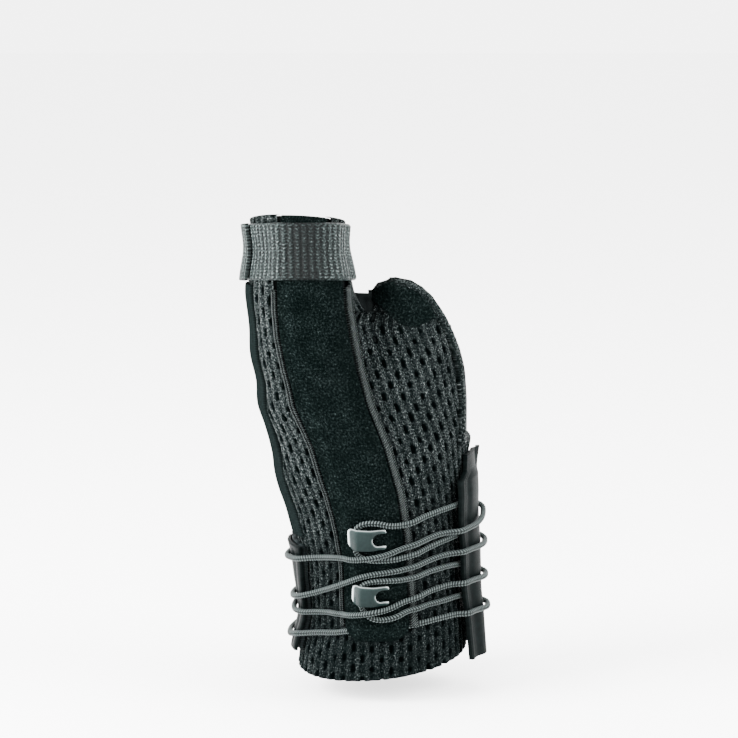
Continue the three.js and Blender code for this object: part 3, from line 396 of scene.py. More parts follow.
def pocket_side(z):
    """Half the pocket's width at a height."""
    rows = np.array(POCKET_LINE)
    return np.interp(z, rows[:, 0] * HEIGHT, rows[:, 2] * POCKET_WIDTH / 2)


# The knit: raised wales run parallel to the pocket's seams, with long slots between them, half a
# repeat apart in neighbouring columns. The face sheet is worked out on a grid that fits the repeat, so
# that every slot has the same clean shape, and it turns in at the cut edges.
WALE = 3.2
REPEAT = 7.0
WALE_STEPS = 8
REPEAT_STEPS = 16
SLOT_HALF = (0.66, 1.15)
SLOT_DEPTH = 1.0
WALE_RISE = 0.3
WAIST_RISE = 0.16
SLOT_SHIFT = (0.3, 0.7)
SLOT_STRETCH = (0.5, 0.6)
EDGE_ROUND = 0.5
CORE_THICKNESS = 1.7
LONGEST_SIDE = 2.6


def knit_relief(u, v):
    """The face's height: a cosine wale, a wave along it, and slots sunk by a smooth oval mask.

    The sine of each slot's own number, times a large number, moves and stretches the slot a little.
    """
    column = np.floor(u / WALE)
    from_slot = u / WALE - column - 0.5
    stagger = np.mod(column, 2) / 2
    place = v / REPEAT + stagger
    along = np.mod(place, 1) - 0.5
    own = np.sin(12.9898 * column + 78.233 * np.floor(place)) * 43758.5453
    chance = np.mod(np.stack((own, 7 * own, 13 * own)), 1) - 0.5
    across = (from_slot * WALE - SLOT_SHIFT[0] * chance[0]) / SLOT_HALF[0] / (1 + SLOT_STRETCH[0] * chance[1])
    up = (along * REPEAT - SLOT_SHIFT[1] * chance[1]) / SLOT_HALF[1] / (1 + SLOT_STRETCH[1] * chance[2])
    oval = (np.abs(across) ** 2.4 + np.abs(up) ** 2.4) ** (1 / 2.4)
    slot = (1 - ease(oval, 0.66, 1.2)) * (0.85 + 0.3 * chance[0])
    wale = WALE_RISE * (0.5 - 0.5 * np.cos(2 * np.pi * (from_slot + 0.5)))
    waist = WAIST_RISE * (0.5 + 0.5 * np.cos(2 * np.pi * along))
    return -wale + waist - SLOT_DEPTH * slot, slot


def face_sheet(turns, z_rows, columns, middles, hidden):
    """A sheet of the knit: skin points raised by the relief, cut off at the first edge, edges turned in."""
    middle = (middles[0][:, None], middles[1][:, None])
    skin = round_skin(turns, z_rows[:, None], 0, middle)
    kept = within_cuts(skin)
    inside = kept > 0
    rows = np.arange(len(z_rows))[:, None]
    first = np.argmax(inside, 0)
    after = ~inside & (rows > first)
    last = np.where(after.any(0), np.argmax(after, 0), len(z_rows)) - 1
    empty = ~inside.any(0)
    out = outward(skin)
    relief, slot = knit_relief(columns[None], z_rows[:, None] + 0 * columns[None])
    fade = 1 - web_fade(skin)
    points = skin + out * (relief * fade)[..., None]
    number = np.arange(len(columns))
    low_end = cut_point(points, kept, first, -1, number)
    high_end = cut_point(points, kept, last, 1, number)
    points = np.where((rows < first)[..., None], low_end, points)
    points = np.where((rows > last)[..., None], high_end, points)
    low_out = out[first, number]
    high_out = out[last, number]
    down = low_end - points[np.minimum(first + 1, last), number]
    up = high_end - points[np.maximum(last - 1, first), number]
    down /= np.linalg.norm(down, axis=-1, keepdims=True) + 1e-9
    up /= np.linalg.norm(up, axis=-1, keepdims=True) + 1e-9
    skirts = [(0.55, -0.25), (0.75, -0.9), (0.6, -1.7), (0.2, -2.4)]
    low_rows = [low_end + down * side * EDGE_ROUND + low_out * drop for side, drop in reversed(skirts)]
    high_rows = [high_end + up * side * EDGE_ROUND + high_out * drop for side, drop in skirts]
    grid = np.concatenate((np.stack(low_rows), points, np.stack(high_rows)))
    uv = np.stack(np.broadcast_arrays(columns[None], z_rows[:, None]), -1)
    ends = np.repeat(uv[:1], len(skirts), 0), np.repeat(uv[-1:], len(skirts), 0)
    uv = np.concatenate((ends[0], uv, ends[1]))
    no_slot = np.zeros((len(skirts), len(columns)))
    depth = np.concatenate((no_slot, slot * fade, no_slot))
    faces = grid_faces(len(grid), len(columns))
    flat = grid.reshape(-1, 3)
    corners = flat[faces]
    spread = np.linalg.norm(corners - np.roll(corners, -1, axis=1), axis=-1).max(1)
    unseen = np.concatenate((np.repeat(hidden[:1], 4, 0), hidden, np.repeat(hidden[-1:], 4, 0)))
    unseen[:, empty] = True
    unseen = unseen.ravel()[faces].all(1)
    faces = faces[(spread < LONGEST_SIDE) & ~unseen]
    return flat, faces, uv.reshape(-1, 2), depth.ravel()


def cut_point(points, kept, row, side, number):
    """Where a column crosses the cut edge next to a row: the two points' mean, weighted by distance."""
    beyond = np.clip(row + side, 0, len(points) - 1)
    here = kept[row, number]
    there = kept[beyond, number]
    share = np.clip(here / np.maximum(here - there, 1e-6), 0, 1)
    gap = points[beyond, number] - points[row, number]
    share = np.where((np.linalg.norm(gap, axis=-1) > LONGEST_SIDE) | (beyond == row), 0, share)
    return points[row, number] + share[:, None] * gap


FACING_EDGE = [(-0.22, 0.805), (-0.16, 0.808), (-0.08, 0.798), (-0.01, 0.777), (0.08, 0.757), (0.16, 0.755),
               (0.22, 0.763), (0.27, 0.773)]


def web_fade(points):
    """1 under the brushed patch along the tongue's top, and 0 a few millimetres below it."""
    line = np.array(FACING_EDGE) * (WRIST_WIDTH, HEIGHT)
    foot = np.interp(points[..., 0], line[:, 0], line[:, 1])
    inside = ease(points[..., 0], WEB_START - 1, WEB_START + 1) * (points[..., 1] < 0)
    return inside * ease(points[..., 2] - foot, -5, 1) * (1 - ease(points[..., 0], 15, 21))


def add_node(tree, kind, inputs=(), **settings):
    """A shader node with its settings and inputs; an input that is a socket is linked, else it is set."""
    node = tree.nodes.new(kind)
    for key, value in settings.items():
        setattr(node, key, value)
    for key, value in dict(inputs).items():
        if isinstance(value, bpy.types.NodeSocket):
            tree.links.new(value, node.inputs[key])
        else:
            node.inputs[key].default_value = value
    return node


def ramp_node(tree, value, stops):
    """A colour ramp through stops, each a place and a colour."""
    node = add_node(tree, "ShaderNodeValToRGB", {"Fac": value})
    while len(node.color_ramp.elements) < len(stops):
        node.color_ramp.elements.new(0.5)
    for element, (place, colour) in zip(node.color_ramp.elements, stops):
        element.position = place
        element.color = (*colour, 1)
    return node.outputs["Color"]


def cloth_place(tree, scale_u, scale_v, turn=0.0):
    """The cloth's own coordinates in millimetres, stretched and turned; its UV map holds them over 100."""
    uv = add_node(tree, "ShaderNodeUVMap", uv_map="cloth")
    placed = add_node(tree, "ShaderNodeMapping", {
        "Vector": uv.outputs["UV"], "Scale": (scale_u * 100, scale_v * 100, 1), "Rotation": (0, 0, turn)})
    return placed.outputs["Vector"]


def maths(tree, operation, first, second=0.0):
    """A maths node's value."""
    return add_node(tree, "ShaderNodeMath", {0: first, 1: second}, operation=operation).outputs[0]


def bump_into(tree, shader, height, strength, distance):
    """Ends the material's relief: a bump node in the shader's normal."""
    bump = add_node(tree, "ShaderNodeBump", {"Height": height, "Strength": strength, "Distance": distance})
    tree.links.new(bump.outputs["Normal"], shader.inputs["Normal"])


# Black polyester yarn: slanting filaments painted grey as sheen where they would catch light, and painted
# shade in the slots.
knit, knit_tree, knit_shader = plain_material("spacer_mesh", (0.02, 0.023, 0.023), 0.62)
yarn_left = add_node(knit_tree, "ShaderNodeTexNoise", {
    "Vector": cloth_place(knit_tree, 3.0, 1.1, 0.7), "Scale": 1.0, "Detail": 2, "Roughness": 0.6})
yarn_right = add_node(knit_tree, "ShaderNodeTexNoise", {
    "Vector": cloth_place(knit_tree, 3.0, 1.1, -0.7), "Scale": 1.0, "Detail": 2, "Roughness": 0.6})
fuzz = add_node(knit_tree, "ShaderNodeTexNoise", {
    "Vector": cloth_place(knit_tree, 1, 1), "Scale": 1.7, "Detail": 3, "Roughness": 0.75})
patches = add_node(knit_tree, "ShaderNodeTexNoise", {
    "Vector": cloth_place(knit_tree, 1, 1), "Scale": 0.12, "Detail": 2})
knit_across = add_node(knit_tree, "ShaderNodeSeparateXYZ", {
    "Vector": cloth_place(knit_tree, 1, 1)}).outputs["X"]
ridge = maths(knit_tree, "COSINE", maths(knit_tree, "MULTIPLY", knit_across, 2 * math.pi / WALE))
yarn = maths(knit_tree, "MAXIMUM", yarn_left.outputs["Fac"], yarn_right.outputs["Fac"])
yarn = maths(knit_tree, "MULTIPLY", yarn, maths(knit_tree, "MULTIPLY", fuzz.outputs["Fac"], 2.0))
depth = add_node(knit_tree, "ShaderNodeAttribute", attribute_name="slot_depth").outputs["Fac"]
# Painted light and shade: the wale tops are a little lighter and the grooves a little darker.
lit = maths(knit_tree, "ADD", yarn, maths(knit_tree, "MULTIPLY", ridge, 0.05))
patch = maths(knit_tree, "ADD", maths(knit_tree, "MULTIPLY", patches.outputs["Fac"], 0.3), 0.85)
lit = maths(knit_tree, "MULTIPLY", lit, patch)
# Painted shade: the colour is darkened by the slot depth, down into the slots.
slot_shade = maths(knit_tree, "SUBTRACT", 1.0, maths(knit_tree, "MULTIPLY", depth, 0.8))
lit = maths(knit_tree, "MULTIPLY", lit, slot_shade)
# Painted shade lower down the wrap, and painted light on the palm side towards the stronger side box.
knit_xyz = add_node(knit_tree, "ShaderNodeSeparateXYZ", {
    "Vector": add_node(knit_tree, "ShaderNodeTexCoord").outputs["Object"]})
low_shade = add_node(knit_tree, "ShaderNodeMapRange", {
    "Value": knit_xyz.outputs["Z"], "From Min": 0.0, "From Max": 0.07, "To Min": 0.86, "To Max": 0.97})
palm_shine = add_node(knit_tree, "ShaderNodeMapRange", {
    "Value": knit_xyz.outputs["X"], "From Min": -0.04, "From Max": -0.015, "To Min": 1.08, "To Max": 1.0})
lit = maths(knit_tree, "MULTIPLY", lit, maths(knit_tree, "MULTIPLY", low_shade.outputs["Result"],
                                              palm_shine.outputs["Result"]))
knit_colour = ramp_node(knit_tree, lit, [(0.36, (0.0004, 0.0008, 0.0008)), (0.54, (0.0024, 0.0036, 0.0036)),
                                         (0.7, (0.0115, 0.0145, 0.0143)), (0.88, (0.07, 0.08, 0.079))])
knit_tree.links.new(maths(knit_tree, "MULTIPLY", maths(knit_tree, "SUBTRACT", lit, 0.5), 0.3),
                    knit_shader.inputs["Specular IOR Level"])
knit_tree.links.new(knit_colour, knit_shader.inputs["Base Color"])
knit_bump = maths(knit_tree, "ADD", yarn, maths(knit_tree, "MULTIPLY", fuzz.outputs["Fac"], 0.4))
bump_into(knit_tree, knit_shader, knit_bump, 0.9, 0.0005)

ROW_STEP = REPEAT / REPEAT_STEPS
COLUMN_STEP = WALE / WALE_STEPS
JOIN_HEIGHT = 108.0
RIM_ROOM = 8.0
BELOW_POCKET = 26.0


def seam_turns(z, side, middles):
    """The turn of a pocket seam as seen from middles: its place in front, read as an angle."""
    width = ROLL_WIDTH if side > 0 else SEAM_WIDTH
    place = front_skin(pocket_middle(z) + side * (pocket_side(z) + SEAT_GAP + width / 2), z, 0)
    return np.degrees(np.arctan2(place[:, 0] - middles[0], middles[1] - place[:, 1]))


def columns_at(z, zero_turn, from_turn, to_turn, columns, middles):
    """The turns of the columns, which are counted as distances along the skin from the turn of the seam."""
    samples = 150
    fine = from_turn[:, None] + np.linspace(0, 1, samples) * (to_turn - from_turn)[:, None]
    places = round_skin(fine, z[:, None], 0, (middles[0][:, None], middles[1][:, None]))
    steps = np.minimum(np.linalg.norm(np.diff(places[..., :2], axis=1), axis=-1), 4)
    lengths = np.concatenate((np.zeros((len(z), 1)), np.cumsum(steps, 1)), 1)
    side = 1 if to_turn[0] > from_turn[0] else -1
    turns = []
    for length, turn, zero in zip(lengths, fine, zero_turn):
        start = np.interp(side * zero, side * turn, length)
        turns.append(np.interp(columns, length - start, turn))
    return np.array(turns)


def add_face(name, z, zero_turn, from_turn, to_turn, columns, middles, hidden):
    """Makes one face sheet of the knit as a piece."""
    turns = columns_at(z, zero_turn, from_turn, to_turn, columns, middles)
    points, faces, uv, slot = face_sheet(turns, z, columns, middles, hidden)
    if to_turn[0] < from_turn[0]:
        faces = faces[:, ::-1]
    keyed = np.column_stack((uv, slot))
    points, faces, keyed = weld(points, faces, keyed)
    used = np.zeros(len(points), bool)
    used[[corner for face in faces for corner in face]] = True
    renumber = np.cumsum(used) - 1
    faces = [[int(renumber[corner]) for corner in face] for face in faces]
    made = put(name, points[used], faces, knit, keyed[used, :2])
    layer = made.data.attributes.new("slot_depth", "FLOAT", "POINT")
    layer.data.foreach_set("value", keyed[used, 2].astype(np.float32))
    return made


# The face on the back of the wrist and over the web: its columns run parallel to the pocket's rolled seam,
# and carry on under the pocket's foot to the rim.
z = np.arange(-RIM_ROOM, 131, ROW_STEP)
wrist_middles = (np.full(len(z), WRIST_MIDDLE[0]), np.full(len(z), WRIST_MIDDLE[1]))
columns = np.arange(-BELOW_POCKET, 96, COLUMN_STEP)
zero = seam_turns(z, 1, wrist_middles)
hidden = (z[:, None] > POCKET_FOOT + 3) & (columns < -1.5)
add_face("mesh_face_back", z, zero, zero - 75, np.full(len(z), 180.0), columns, wrist_middles, hidden)

# The face on the palm side, whose columns run parallel to the pocket's other seam, up to the sleeve.
z = np.arange(-RIM_ROOM, JOIN_HEIGHT + ROW_STEP / 2, ROW_STEP)
share = ease(z, 45, 92)
middle_x, middle_y = sleeve_middle(z)
palm_middles = (WRIST_MIDDLE[0] + share * (middle_x - WRIST_MIDDLE[0]),
                WRIST_MIDDLE[1] + share * (middle_y - WRIST_MIDDLE[1]))
columns = np.arange(0, 92, COLUMN_STEP)
zero = seam_turns(z, -1, palm_middles)
hidden = np.zeros((len(z), len(columns)), bool)
add_face("mesh_face_palm", z, zero, zero, -180 - 45 * ease(z, 60, 105), columns, palm_middles, hidden)

# The face right round the sleeve above that, to the web's side of the thumb.
SLEEVE_ROWS = 102
z = JOIN_HEIGHT + ROW_STEP * np.arange(SLEEVE_ROWS)
middles = sleeve_middle(z)
columns = np.arange(0, 104, COLUMN_STEP)
zero = seam_turns(np.minimum(z, POCKET_HEAD), -1, middles)
end = seam_turns(np.minimum(z, POCKET_HEAD), 1, middles) - 360
hidden = np.zeros((len(z), len(columns)), bool)
add_face("mesh_face_sleeve", z, zero, zero, end, columns, middles, hidden)

# Behind the knit lies the wrap's soft core and smooth lining: the CAD shell made fine, pressed to the
# cloth's inner layer by bringing each point's height in the wall down in proportion. Its top is tilted
# and lifted to the plane of the mouth.
LINING_GRAIN = 1.0
LINING_LIFT = 0.65
LINING_TILTS = (0.072, -0.044)
LINING_LIFT_FROM = (134.0, 146.0)
shell_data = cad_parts["mesh_wrap"].data.copy()
shell = bpy.data.objects.new("wrap_lining", shell_data)
bpy.context.scene.collection.objects.link(shell)
welding = shell.modifiers.new("weld", "WELD")
welding.merge_threshold = 1e-5
remesh = shell.modifiers.new("remesh", "REMESH")
remesh.mode = "VOXEL"
remesh.voxel_size = LINING_GRAIN / 1000
fine = bpy.data.meshes.new_from_object(shell.evaluated_get(bpy.context.evaluated_depsgraph_get()))
bpy.data.objects.remove(shell)
places = np.empty(len(fine.vertices) * 3)
fine.vertices.foreach_get("co", places)
places = places.reshape(-1, 3) * 1000
depth_now = hollow(places)
places += outward(places) * (depth_now * (CORE_THICKNESS / WALL - 1))[:, None]
mouth_x, mouth_y = sleeve_middle(MOUTH_HEIGHT)
lift = LINING_LIFT + LINING_TILTS[1] * (places[:, 1] - mouth_y) + LINING_TILTS[0] * (places[:, 0] - mouth_x)
places[:, 2] += ease(places[:, 2], *LINING_LIFT_FROM) * lift
places = as_worn(places)
fine.vertices.foreach_set("co", (places / 1000).ravel())
fine.polygons.foreach_set("use_smooth", np.ones(len(fine.polygons), bool))
fine.materials.clear()
lining = bpy.data.objects.new("wrap_lining", fine)
bpy.context.scene.collection.objects.link(lining)
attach(lining, "root")
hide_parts("mesh_wrap")

lining_cloth, lining_tree, lining_shader = plain_material("lining_cloth", (0.012, 0.014, 0.014), 0.85)
lining_shader.inputs["Specular IOR Level"].default_value = 0.0
lining_place = add_node(lining_tree, "ShaderNodeTexCoord").outputs["Object"]
lining_knit = add_node(lining_tree, "ShaderNodeTexVoronoi", {"Vector": lining_place, "Scale": 1400.0})
lining_noise = add_node(lining_tree, "ShaderNodeTexNoise", {
    "Vector": lining_place, "Scale": 300.0, "Detail": 3})
lining_tree.links.new(ramp_node(lining_tree, lining_noise.outputs["Fac"],
                                [(0.3, (0.0016, 0.0021, 0.0021)), (0.7, (0.005, 0.0062, 0.0062))]),
                      lining_shader.inputs["Base Color"])
bump_into(lining_tree, lining_shader, lining_knit.outputs["Distance"], 0.5, 0.0003)
lining.data.materials.append(lining_cloth)


# The stay pocket is a strip of dark brushed loop cloth sewn down the thumb side. A flat metal stay
# stands up along its middle and leaves a flat margin on each side; the foot has rounded corners, and
# the lace's lowest turn passes under it.
POCKET_CORNER = 6.0
POCKET_THICKNESS = 1.0
STAY_WIDTH = 15.0
STAY_RISE = 1.4
SEAM_RISE = 1.5
LACE = 2.3
PASSAGE = LACE + 2 * SEAT_GAP
TUNNEL_RISE = POCKET_FOOT + 0.5 * LACE + 1.9
TUNNEL_SLOPE = 0.09
SEAM_HEAD = STRAP_FOOT - 2 * SEAT_GAP


def underside(x, z):
    """The height of the pocket's back over the wrap: the seat gap, and the lace's passage in its tunnel."""
    line = TUNNEL_RISE + TUNNEL_SLOPE * (x - pocket_middle(POCKET_FOOT))
    return SEAT_GAP + PASSAGE * (1 - ease(np.abs(z - line), 0.6 * LACE, 2.4 * LACE))


def pocket_top(x, z):
    """The height of the pocket's face over the wrap: its back, its thickness and the stay under it."""
    offset = np.abs(x - pocket_middle(z))
    stay = STAY_RISE * (1 - ease(offset, STAY_WIDTH / 2 - STAY_RISE, STAY_WIDTH / 2 + STAY_RISE))
    return underside(x, z) + POCKET_THICKNESS + stay


def cover_height(x, z):
    """The height of whatever lies on the wrap at a place in front: the pocket, its seams or nothing."""
    offset = np.abs(x - pocket_middle(z))
    beside = offset < pocket_side(z) + ROLL_WIDTH + SEAT_GAP
    seams = np.where((z < SEAM_HEAD) & beside, SEAT_GAP + SEAM_RISE, 0)
    return np.maximum(seams, np.where(offset < pocket_side(z), pocket_top(x, z), 0))


# How a strip's edge turns down: shares of the edge's width, then millimetres below the face.
TURNED_EDGE = [(0.7, 0.15), (1.0, 0.5), (1.0, 1.2)]


def closed_strip(name, across, along, place, material, edge=0.35):
    """A cloth strip as one closed sheet: place(u, v) gives its face, and each edge turns down to its back.

    The turned edge is rounded, then the sheet goes down to the wrap.
    """
    u, v = np.meshgrid(across, along)
    points, uv = place(u, v)
    out = outward(points)
    left_in = unit(points[:, 0] - points[:, 1])
    right_in = unit(points[:, -1] - points[:, -2])
    left = [points[:, 0] + left_in * edge * share - out[:, 0] * drop for share, drop in TURNED_EDGE]
    right = [points[:, -1] + right_in * edge * share - out[:, -1] * drop for share, drop in TURNED_EDGE]
    points = np.concatenate([part[:, None] for part in reversed(left)] + [points]
                            + [part[:, None] for part in right], 1)
    uv = np.concatenate((np.repeat(uv[:, :1], 3, 1), uv, np.repeat(uv[:, -1:], 3, 1)), 1)
    out = outward(points)
    low_in = unit(points[0] - points[1])
    high_in = unit(points[-1] - points[-2])
    low = [points[0] + low_in * edge * share - out[0] * drop for share, drop in TURNED_EDGE]
    high = [points[-1] + high_in * edge * share - out[-1] * drop for share, drop in TURNED_EDGE]
    points = np.concatenate((np.stack(list(reversed(low))), points, np.stack(high)))
    uv = np.concatenate((np.repeat(uv[:1], 3, 0), uv, np.repeat(uv[-1:], 3, 0)))
    rows, columns = points.shape[:2]
    faces = grid_faces(rows, columns)
    return put(name, points.reshape(-1, 3), faces, material, uv.reshape(-1, 2))


def unit(vectors):
    """Vectors brought to length one."""
    return vectors / (np.linalg.norm(vectors, axis=-1, keepdims=True) + 1e-9)


velour, velour_tree, velour_shader = plain_material("brushed_loop", (0.012, 0.016, 0.0165), 0.9)
velour_shader.inputs["Specular IOR Level"].default_value = 0.0
velour_place = cloth_place(velour_tree, 1, 1)
loops = add_node(velour_tree, "ShaderNodeTexNoise", {
    "Vector": velour_place, "Scale": 1.5, "Detail": 4, "Roughness": 0.8})
loop_cells = add_node(velour_tree, "ShaderNodeTexVoronoi", {"Vector": velour_place, "Scale": 1.7})
nap = add_node(velour_tree, "ShaderNodeTexNoise", {"Vector": velour_place, "Scale": 0.16, "Detail": 3})
nap_light = maths(velour_tree, "ADD", maths(velour_tree, "MULTIPLY", nap.outputs["Fac"], 0.3), 0.85)
loop_mix = maths(velour_tree, "MULTIPLY", loops.outputs["Fac"], nap_light)
velour_tree.links.new(
    ramp_node(velour_tree, loop_mix, [(0.36, (0.0002, 0.0005, 0.0005)), (0.5, (0.0007, 0.0014, 0.0013)),
                                      (0.6, (0.0034, 0.0052, 0.005)), (0.76, (0.024, 0.031, 0.0303))]),
    velour_shader.inputs["Base Color"])
bump_into(velour_tree, velour_shader,
          maths(velour_tree, "ADD", loops.outputs["Fac"], loop_cells.outputs["Distance"]), 0.8, 0.0005)


def pocket_face(u, v):
    """The face of the pocket: across it by u from -1 to 1, and up it by v, narrowed by its round corners."""
    z = POCKET_FOOT + v * (POCKET_HEAD - POCKET_FOOT)
    share = 1 - np.clip(z - POCKET_FOOT, 0, POCKET_CORNER) / POCKET_CORNER
    half = pocket_side(z) - POCKET_CORNER * (1 - np.sqrt(1 - share * share))
    x = pocket_middle(z) + u * (half - 0.35)
    mouth_x, mouth_y = sleeve_middle(MOUTH_HEIGHT)
    top = front_skin(x, POCKET_HEAD, 0)
    head = MOUTH_HEIGHT - MOUTH_SLOPES[1] * (top[..., 1] - mouth_y) - MOUTH_SLOPES[0] * (x - mouth_x)
    z = z + ease(v, 0.8, 1) * (head - POCKET_HEAD)
    inset = np.minimum(z - POCKET_FOOT, head - z)
    hem = 0.25 * (1 - ease(inset, 0.8, 1.8))
    points = front_skin(x, z, pocket_top(x, z) - hem)
    return points, np.stack((u * POCKET_WIDTH / 2, z), -1)


along = np.linspace(0, 1, 300)
along = along - 0.06 * np.sin(2 * np.pi * along) / (2 * np.pi)
pocket = closed_strip("pocket_cloth", np.linspace(-1, 1, 64), along, pocket_face, velour)
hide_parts("stay_cover")


# Two seams hold the pocket down: a flat twin-needle tape on the palm side, and a thicker rolled edge on
# the other side. Both are lighter than the cloth because their thread catches the light.
tape, tape_tree, tape_shader = plain_material("seam_thread", (0.1, 0.108, 0.106), 0.6)
tape_shader.inputs["Specular IOR Level"].default_value = 0.03
twist = add_node(tape_tree, "ShaderNodeTexWave", {
    "Vector": cloth_place(tape_tree, 1, 1, 0.9), "Scale": 0.55, "Distortion": 1.5, "Detail": 2})
tape_fuzz = add_node(tape_tree, "ShaderNodeTexNoise", {
    "Vector": cloth_place(tape_tree, 1, 1), "Scale": 2.2, "Detail": 3})
tape_light = maths(tape_tree, "MULTIPLY", twist.outputs["Fac"], tape_fuzz.outputs["Fac"])
tape_tree.links.new(
    ramp_node(tape_tree, tape_light, [(0.05, (0.0007, 0.0012, 0.0012)), (0.35, (0.005, 0.0068, 0.0067)),
                                      (0.6, (0.045, 0.052, 0.051))]),
    tape_shader.inputs["Base Color"])
bump_into(tape_tree, tape_shader, tape_light, 0.8, 0.0006)


def seam_strip(name, side, width, section, node):
    """A raised seam beside the pocket: section(u) is its height across, with a stitch wave along it.

    It starts above the pocket's rounded corner and thins out towards its foot.
    """
    def face(u, v):
        foot = POCKET_FOOT + 0.75 * POCKET_CORNER
        z = foot + v * (SEAM_HEAD - foot)
        x = pocket_middle(z) + side * (pocket_side(z) + SEAT_GAP + u * width)
        stitch = 0.12 * np.sin(2 * np.pi * z / 1.5 + 2 * u) * section(u)
        lift = underside(x, z) + (SEAM_RISE * section(u) + stitch) * (0.3 + 0.7 * ease(z, foot, foot + 5))
        return front_skin(x, z, lift), np.stack((u * width, z), -1)

    across = np.linspace(0, 1, 13)
    if side < 0:
        across = across[::-1]
    strip = closed_strip(name, across, np.linspace(0, 1, 420), face, tape, 0.15)
    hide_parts(node)
    return strip


def twin_rows(u):
    """Two round rows of thread with a dip between them."""
    return 0.35 + 0.6 * np.abs(np.sin(2 * np.pi * u)) ** 0.7


def rolled_edge(u):
    """One round roll, with a groove towards its outer side."""
    return 0.3 + 0.7 * np.sin(np.pi * np.clip(u / 0.75, 0, 1)) ** 0.8 + 0.25 * ease(u, 0.8, 1.0)


seam_strip("seam_palm", -1, SEAM_WIDTH, twin_rows, "seam_rib_palm")
seam_strip("seam_back", 1, ROLL_WIDTH, rolled_edge, "seam_rib_dorsal")


# A smooth elastic binding closes the sleeve's palm side from the belt up to the strap, and a narrow one
# edges the back of the tongue; a patch of the brushed cloth faces the tongue's top.
BAND_WIDTH = 7.0
BAND_FOOT = 43.05
BAND_TURN = -63.0
BAND_THICKNESS = 0.9
FACING_THICKNESS = 0.7
FACING_START = 6.0
FACING_INSET = 0.8
FACING_CORNER = 1.5
BINDING_WIDTH = 2.0
THUMB_ROUND = THUMB_ROWS[4][3] * THUMB_SIZE[0]

smooth_cloth, smooth_tree, smooth_shader = plain_material("smooth_binding", (0.018, 0.022, 0.023), 0.62)
smooth_shader.inputs["Specular IOR Level"].default_value = 0.0
fine_weave = add_node(smooth_tree, "ShaderNodeTexWave", {
    "Vector": cloth_place(smooth_tree, 1, 1, 0.6), "Scale": 1.0, "Distortion": 0.6, "Detail": 1})
weave_noise = add_node(smooth_tree, "ShaderNodeTexNoise", {
    "Vector": cloth_place(smooth_tree, 1, 1), "Scale": 1.4, "Detail": 3})
weave_light = maths(smooth_tree, "MULTIPLY", fine_weave.outputs["Fac"], weave_noise.outputs["Fac"])
smooth_tree.links.new(
    ramp_node(smooth_tree, weave_light, [(0.1, (0.0005, 0.001, 0.001)), (0.55, (0.0055, 0.0078, 0.0077))]),
    smooth_shader.inputs["Base Color"])
bump_into(smooth_tree, smooth_shader, weave_light, 0.5, 0.0003)


def band_face(u, v):
    """The binding round the sleeve's palm side, crowned across by a half sine."""
    z = BAND_FOOT + v * (SEAM_HEAD - BAND_FOOT)
    turn = BAND_TURN - u * math.degrees(BAND_WIDTH / (THUMB_ROUND + WALL))
    lift = SEAT_GAP + BAND_THICKNESS * (0.55 + 0.45 * np.sin(np.pi * np.clip(u, 0.02, 0.98)) ** 0.6)
    return round_skin(turn, z, lift, sleeve_middle(z)), np.stack((u * BAND_WIDTH, z), -1)


band = closed_strip("sleeve_binding", np.linspace(1, 0, 22), np.linspace(0, 1, 200), band_face,
                    smooth_cloth)
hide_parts("sleeve_edge_band")


def tongue_line(share, inset):
    """A place along the tongue's cut edge by its share of the way, moved in from the edge by inset."""
    corners = np.array([(max(a * WRIST_WIDTH, WEB_START), b * HEIGHT) for a, b in TONGUE_EDGE[1:]])
    steps = np.concatenate(([0], np.cumsum(np.linalg.norm(np.diff(corners, axis=0), axis=1))))
    fine = np.linspace(0, steps[-1], 120)
    line = np.stack([np.interp(fine, steps, corners[:, axis]) for axis in (0, 1)], -1)
    padded = np.concatenate((np.repeat(line[:1], 6, 0), line, np.repeat(line[-1:], 6, 0)))
    kernel = np.hanning(13) / np.hanning(13).sum()
    line = np.stack([np.convolve(padded[:, axis], kernel, "valid") for axis in (0, 1)], -1)
    run = unit(np.gradient(line, axis=0))
    at = share * (len(line) - 1)
    number = np.arange(len(line))
    x = np.interp(at, number, line[:, 0]) + np.interp(at, number, run[:, 1]) * inset
    up = np.interp(at, number, line[:, 1]) - np.interp(at, number, run[:, 0]) * inset
    return x, up, share * steps[-1]


def binding_face(u, v):
    """The narrow binding along the tongue's edge."""
    x, up, run = tongue_line(0.08 + 0.92 * v, 0.1 + u * BINDING_WIDTH)
    lift = SEAT_GAP + BAND_THICKNESS * (0.5 + 0.5 * np.sin(np.pi * np.clip(u, 0.02, 0.98)) ** 0.6)
    return front_skin(x, up, lift), np.stack((u * BINDING_WIDTH, run), -1)


web_edge = closed_strip("tongue_binding", np.linspace(1, 0, 10), np.linspace(0, 1, 220), binding_face,
                        knit, 0.2)
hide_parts("web_binding")


def facing_face(u, v):
    """The brushed patch under the tongue's top: between its lower edge and the tongue's edge."""
    start = WEB_START + FACING_START
    x = start + u * (FACING_EDGE[-1][0] * WRIST_WIDTH + 2 - start)
    line = np.array(FACING_EDGE) * (WRIST_WIDTH, HEIGHT)
    fine = np.linspace(line[0, 0], line[-1, 0], 60)
    drawn = np.pad(np.interp(fine, line[:, 0], line[:, 1]), 6, "edge")
    smooth = np.convolve(drawn, np.hanning(13) / 6, "valid")
    foot = np.interp(x, fine, smooth)
    top = np.array([(max(a * WRIST_WIDTH, WEB_START), b * HEIGHT) for a, b in TONGUE_EDGE[:7]])
    head = np.interp(x, top[:, 0], top[:, 1]) - FACING_INSET - FACING_CORNER * (1 - ease(u, 0, 0.2))
    z = foot + v * np.maximum(head - foot, 1.0)
    edge = np.minimum.reduce((u, 1 - u, v))
    lift = SEAT_GAP + FACING_THICKNESS * (0.1 + 0.9 * ease(edge, 0, 0.16))
    return front_skin(x, z, lift), np.stack((x, z), -1)


facing = closed_strip("tongue_facing", np.linspace(0, 1, 70), np.linspace(0, 1, 50), facing_face,
                      velour, 0.2)
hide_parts("web_facing")


